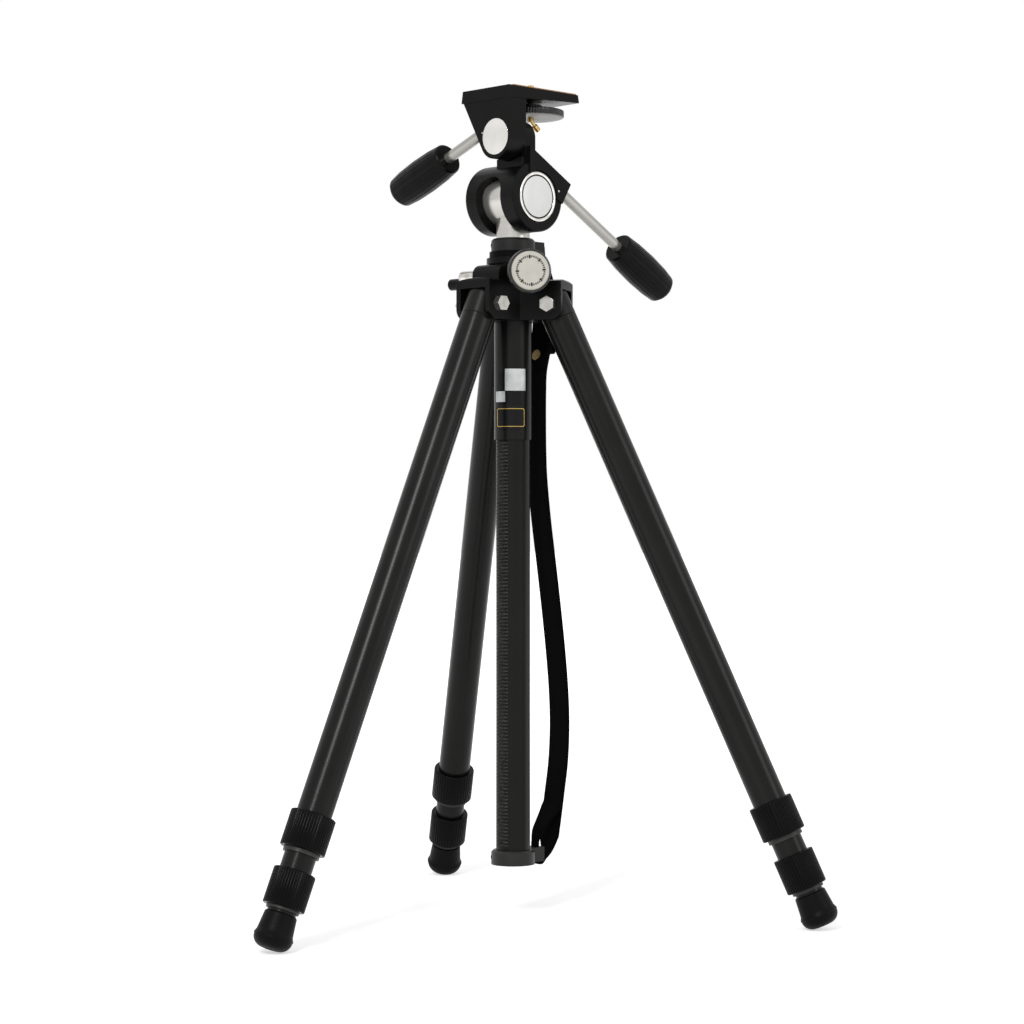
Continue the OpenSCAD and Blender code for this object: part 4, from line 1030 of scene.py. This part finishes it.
def webbing(name, points, widens=MAIN_WIDENS):
    """A flat woven strap along a line in the plane of Y and Z, with firm rolled edges."""
    line = smooth_line(points)
    made = bmesh.new()
    layer = made.loops.layers.uv.new("weave")
    rows, run, travelled = [], [], 0.0
    for i, p in enumerate(line):
        before, after = line[max(0, i - 1)], line[min(len(line) - 1, i + 1)]
        way = (after - before).normalized()
        normal = Vector((-way.y, way.x))
        if i:
            travelled += (p - line[i - 1]).length
        half, thick = strap_half(p.x, p.y, widens), STRAP_T / 2 * STRAP_FILL
        row = []
        for face in (1, -1):
            section = STRAP_SECTION if face == 1 else STRAP_SECTION[::-1]
            for across, rise in section:
                off = normal * (face * rise * thick)
                place = Vector((across * half, p.x + off.x, p.y + off.y))
                row.append((made.verts.new(place), across * half))
        rows.append(row)
        run.append(travelled)
    count = len(rows[0])

    def face_with_map(corners):
        """A face from [(vertex, u, v)]."""
        face = made.faces.new([c[0] for c in corners])
        for loop, c in zip(face.loops, corners):
            loop[layer].uv = (c[1], c[2])

    for i in range(len(rows) - 1):
        a, b = rows[i], rows[i + 1]
        for k in range(count):
            n = (k + 1) % count
            face_with_map(
                [
                    (a[k][0], a[k][1], run[i]),
                    (a[n][0], a[n][1], run[i]),
                    (b[n][0], b[n][1], run[i + 1]),
                    (b[k][0], b[k][1], run[i + 1]),
                ]
            )
    for row, at, order in ((rows[0], run[0], 1), (rows[-1], run[-1], -1)):
        face_with_map([(v, u, at) for v, u in row[::order]])
    bmesh.ops.recalc_face_normals(made, faces=made.faces)
    return add_piece(name, finished(made, name), WEBBING, "column", 60)


strap_main = webbing("strap_main", STRAP_MAIN)
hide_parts("carry_strap")
webbing("strap_flap", STRAP_FLAP, FLAP_WIDENS)
webbing("strap_inner", STRAP_INNER)
webbing("strap_curl", STRAP_CURL)

# ---------- labels on the sleeve ----------

SLEEVE_R = 31.9 / 2 * MM
LABEL_T = 0.4 * MM
LABEL_SIDE = math.radians(-47)
LABEL_HALF = 13.4 * MM
UPPER_LABEL = (431.55 * MM, 459.55 * MM)  # lower and upper edge
LOWER_LABEL = (410.55 * MM, 427.55 * MM)
EDGE_STEP = 0.8 * MM
INK, INK_SUNK = 0.06 * MM, 0.02 * MM  # a print's height, and how far it goes into the plate
LABEL_LOW, LABEL_TOP = SLEEVE_R + 0.03 * MM, SLEEVE_R + LABEL_T - INK  # radii of a plate


def plate_edge(half_w, half_h, corner):
    """The points round a rectangle with rounded corners, no further apart than EDGE_STEP."""
    w, h = half_w, half_h
    c = max(0.02 * MM, min(corner, w, h))
    points = []
    for cx, cy, start in (
        (w - c, h - c, 0),
        (-w + c, h - c, 90),
        (-w + c, -h + c, 180),
        (w - c, -h + c, 270),
    ):
        for k in range(7):
            a = math.radians(start + 15 * k)
            points.append((cx + c * math.cos(a), cy + c * math.sin(a)))
    full = []
    for a, b in zip(points, points[1:] + points[:1]):
        steps = max(1, math.ceil(math.hypot(b[0] - a[0], b[1] - a[1]) / EDGE_STEP))
        full += [
            (a[0] + (b[0] - a[0]) * k / steps, a[1] + (b[1] - a[1]) * k / steps)
            for k in range(steps)
        ]
    return full


def crossing(a, b, u):
    """The heights at which the edge from a to b meets the upright line at u."""
    if min(a[0], b[0]) - MERGE <= u <= max(a[0], b[0]) + MERGE:
        if abs(b[0] - a[0]) < TINY:
            return [a[1], b[1]]
        share = min(1.0, max(0.0, (u - a[0]) / (b[0] - a[0])))
        return [a[1] + (b[1] - a[1]) * share]
    return []


def wrapped_patch(name, turn, half_turn, z0, z1, r0, r1, material, corner, hole=None):
    """A plate bent round the column's axis, with rounded corners. With hole it is a frame: the
    hole's edge lies that far inside."""
    radius = (r0 + r1) / 2
    half_w, half_h, mid = half_turn * radius, (z1 - z0) / 2, (z0 + z1) / 2

    def lifted(u, v, r):
        """A place on the plate, r from the column's axis."""
        a = turn + u / radius
        return Vector((r * math.cos(a), r * math.sin(a), mid + v))

    made = bmesh.new()
    outer = plate_edge(half_w, half_h, corner)
    if hole is None:
        # Columns across the plate follow the bend, so it is cut along X
        rings = []
        for u in sorted({round(u, 7) for u, _ in outer}):
            rows = [v for a, b in zip(outer, outer[1:] + outer[:1]) for v in crossing(a, b, u)]
            low, high = min(rows), max(rows)
            section = ((low, r0), (low, r1), (high, r1), (high, r0))
            rings.append([made.verts.new(lifted(u, v, r)) for v, r in section])
        for a, b in zip(rings, rings[1:]):
            bridge(made, a, b)
        made.faces.new(rings[0])
        made.faces.new(rings[-1][::-1])
    else:
        inner = [(u * (half_w - hole) / half_w, v * (half_h - hole) / half_h) for u, v in outer]
        loops = [
            [made.verts.new(lifted(u, v, r)) for u, v in path]
            for path, r in ((outer, r0), (outer, r1), (inner, r1), (inner, r0))
        ]
        for a, b in zip(loops, loops[1:] + loops[:1]):
            bridge(made, a, b)
    bmesh.ops.remove_doubles(made, verts=made.verts, dist=MERGE)
    bmesh.ops.recalc_face_normals(made, faces=made.faces)
    return add_piece(name, finished(made, name), material, "stand", 30)


def plate(name, heights, corner):
    """A bare black plate on the sleeve."""
    return wrapped_patch(
        name, LABEL_SIDE, LABEL_HALF / SLEEVE_R, *heights,
        LABEL_LOW, LABEL_TOP, LABEL_BLACK, corner,
    )


upper_label = plate("upper_label", UPPER_LABEL, 1.2 * MM)
lower_label = plate("lower_label", LOWER_LABEL, 1.6 * MM)
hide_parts("label_plates")


def print_block(name, point, carrier, width, height, material, corner, hole=None):
    """A printed block on a label, its middle on an image point."""
    place, _ = put_on(POINTS[point], carrier)
    turn = math.atan2(place.y, place.x)
    r0 = LABEL_TOP - INK_SUNK
    return wrapped_patch(
        name, turn, width / 2 / SLEEVE_R, place.z - height / 2, place.z + height / 2,
        r0, r0 + INK + INK_SUNK, material, corner, hole,
    )


silver_block = print_block(
    "label_silver_block", "label_silver", upper_label,
    width=17.8 * MM, height=18.4 * MM, material=LABEL_SILVER, corner=0.4 * MM,
)
silver_strip = print_block(
    "label_silver_strip", "label_strip", upper_label,
    width=10.5 * MM, height=9.0 * MM, material=LABEL_SILVER, corner=0.3 * MM,
)
gold_frame = print_block(
    "label_gold_frame", "label_gold", lower_label,
    width=25.0 * MM, height=15.4 * MM, material=LABEL_GOLD, corner=1.4 * MM, hole=0.5 * MM,
)

# ---------- small screw on the bracket ----------

DOT_R = 0.75 * MM


def small_screw(name, carrier, body):
    """A small domed screw let into a surface at the image point of its name."""
    place, normal = put_on(POINTS[name], carrier)
    profile = [
        (TINY, -0.6 * MM, 0),
        (DOT_R, -0.6 * MM, 0),
        (DOT_R, 0.08 * MM, 0),
        (DOT_R * 0.85, 0.18 * MM, 0),
        (DOT_R * 0.3, 0.2 * MM, 0),
        (TINY, 0.2 * MM, 0),
    ]
    return add_piece(name, lathe(profile, along(place, normal), 32), BOLT, body)


platform_dot = small_screw("platform_dot", NODES["platform"], "platform")

# ---------- floor and light ----------

FLOOR_HALF, FLOOR_Z = 14, -0.0002
GLOW_FROM, GLOW_TO = 0.3, 2.2  # distances from the axis between which the floor's glow rises
GLOW_LOW, GLOW_HIGH = 0.55, 1.1
ROOM_LIGHT = 0.45


def backdrop_seen(tree):
    """1 where the eye, a reflection or glass sees the backdrop, and 0 where it lights things."""
    path = node_at(tree, "ShaderNodeLightPath")
    seen = math_node(
        tree, "MAXIMUM", path.outputs["Is Camera Ray"], path.outputs["Is Glossy Ray"]
    )
    return math_node(tree, "MAXIMUM", seen, path.outputs["Is Transmission Ray"])


def floor():
    """A plain floor that shows white and keeps part of its shadow near the object."""
    made = bmesh.new()
    for x, y in ((-1, -1), (1, -1), (1, 1), (-1, 1)):
        made.verts.new((x * FLOOR_HALF, y * FLOOR_HALF, FLOOR_Z))
    made.faces.new(made.verts)
    mesh = finished(made, "floor")
    plane = bpy.data.objects.new("floor", mesh)
    SCENE.collection.objects.link(plane)
    material, tree, shader = new_material("floor_white", specular=0.0)
    shader.inputs["Base Color"].default_value = (0.9, 0.9, 0.9, 1)
    shader.inputs["Roughness"].default_value = 0.9
    reach = node_at(tree, "ShaderNodeVectorMath", operation="LENGTH")
    tree.links.new(coordinates(tree), reach.inputs[0])
    rise = spread(tree, reach.outputs["Value"], GLOW_LOW, GLOW_HIGH, GLOW_FROM, GLOW_TO)
    glow = math_node(tree, "MULTIPLY", backdrop_seen(tree), rise)
    shader.inputs["Emission Color"].default_value = (1, 1, 1, 1)
    tree.links.new(glow, shader.inputs["Emission Strength"])
    mesh.materials.append(material)
    plane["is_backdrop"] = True


def studio_world():
    """A room that shows white and lights the object at ROOM_LIGHT."""
    world = bpy.data.worlds.new("studio")
    SCENE.world = world
    world.use_nodes = True
    tree = world.node_tree
    tree.nodes.clear()
    strength = spread(tree, backdrop_seen(tree), ROOM_LIGHT, 1.0)
    sky = node_at(tree, "ShaderNodeBackground")
    sky.inputs["Color"].default_value = (1, 1, 1, 1)
    tree.links.new(strength, sky.inputs["Strength"])
    out = node_at(tree, "ShaderNodeOutputWorld")
    tree.links.new(sky.outputs[0], out.inputs["Surface"])


floor()
studio_world()

AIM = Vector((0, 0, 0.35))  # where the lamps point


def softbox(name, turn, rise, distance, width, height, level):
    """A soft lamp: turn is degrees to the right of the camera, rise above the horizon, and level
    the share of full light that it gives a facing surface."""
    a = math.radians(CAMERA_SIDE + turn)
    e = math.radians(rise)
    back = Vector((math.sin(a) * math.cos(e), -math.cos(a) * math.cos(e), math.sin(e)))
    data = bpy.data.lights.new(name, "AREA")
    data.shape, data.size, data.size_y = "RECTANGLE", width, height
    data.energy = level * math.pi**2 * distance**2
    lamp = bpy.data.objects.new(name, data)
    SCENE.collection.objects.link(lamp)
    lamp.location = AIM + back * distance
    lamp.rotation_euler = (-back).to_track_quat("-Z", "Y").to_euler()


softbox("key", turn=-19, rise=34, distance=3.2, width=0.55, height=1.1, level=0.42)
softbox("fill", turn=62, rise=22, distance=3.4, width=1.2, height=1.6, level=0.16)

SCENE.view_settings.view_transform = "Standard"

# ---------- image points as rendered ----------

SKIN = 0.0006  # a vertex this close behind the first hit counts as seen


def visible_points(o, tree):
    """The image points of an object's finished vertices that the camera sees."""
    graph = bpy.context.evaluated_depsgraph_get()
    done = o.evaluated_get(graph)
    mesh = done.to_mesh()
    eye = camera.matrix_world.translation
    found = []
    for v in mesh.vertices:
        place = o.matrix_world @ v.co
        way = place - eye
        hit, _, _, distance = tree.ray_cast(eye, way.normalized())
        if hit is None or distance > way.length - SKIN:
            found.append(seen_at(place))
    done.to_mesh_clear()
    return found


def write_points():
    """The image points at which the camera sees the shown pieces, each named thing and the hinge
    bolts. The results are not kept.
    """
    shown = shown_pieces()
    everything = tree_of(*shown)
    seen_all = [p for o in shown for p in visible_points(o, everything)]
    carriers = {
        "badge_disc": badge_disc,
        "knob_face": NODES["lock_knob_face"],
        "crank_grip": NODES["crank_grip"],
        "strap_rivet": NODES["strap_rivet"],
        "platform_dot": platform_dot,
        "handle_set_screw": NODES["handle_set_screw"],
        "label_silver": silver_block,
        "label_strip": silver_strip,
        "label_gold": gold_frame,
        "bottom_cap": NODES["column_bottom_cap"],
    }
    for name, o in carriers.items():
        found = visible_points(o, everything)
    bolts = visible_points(NODES["hinge_bolts"], everything)


write_points()
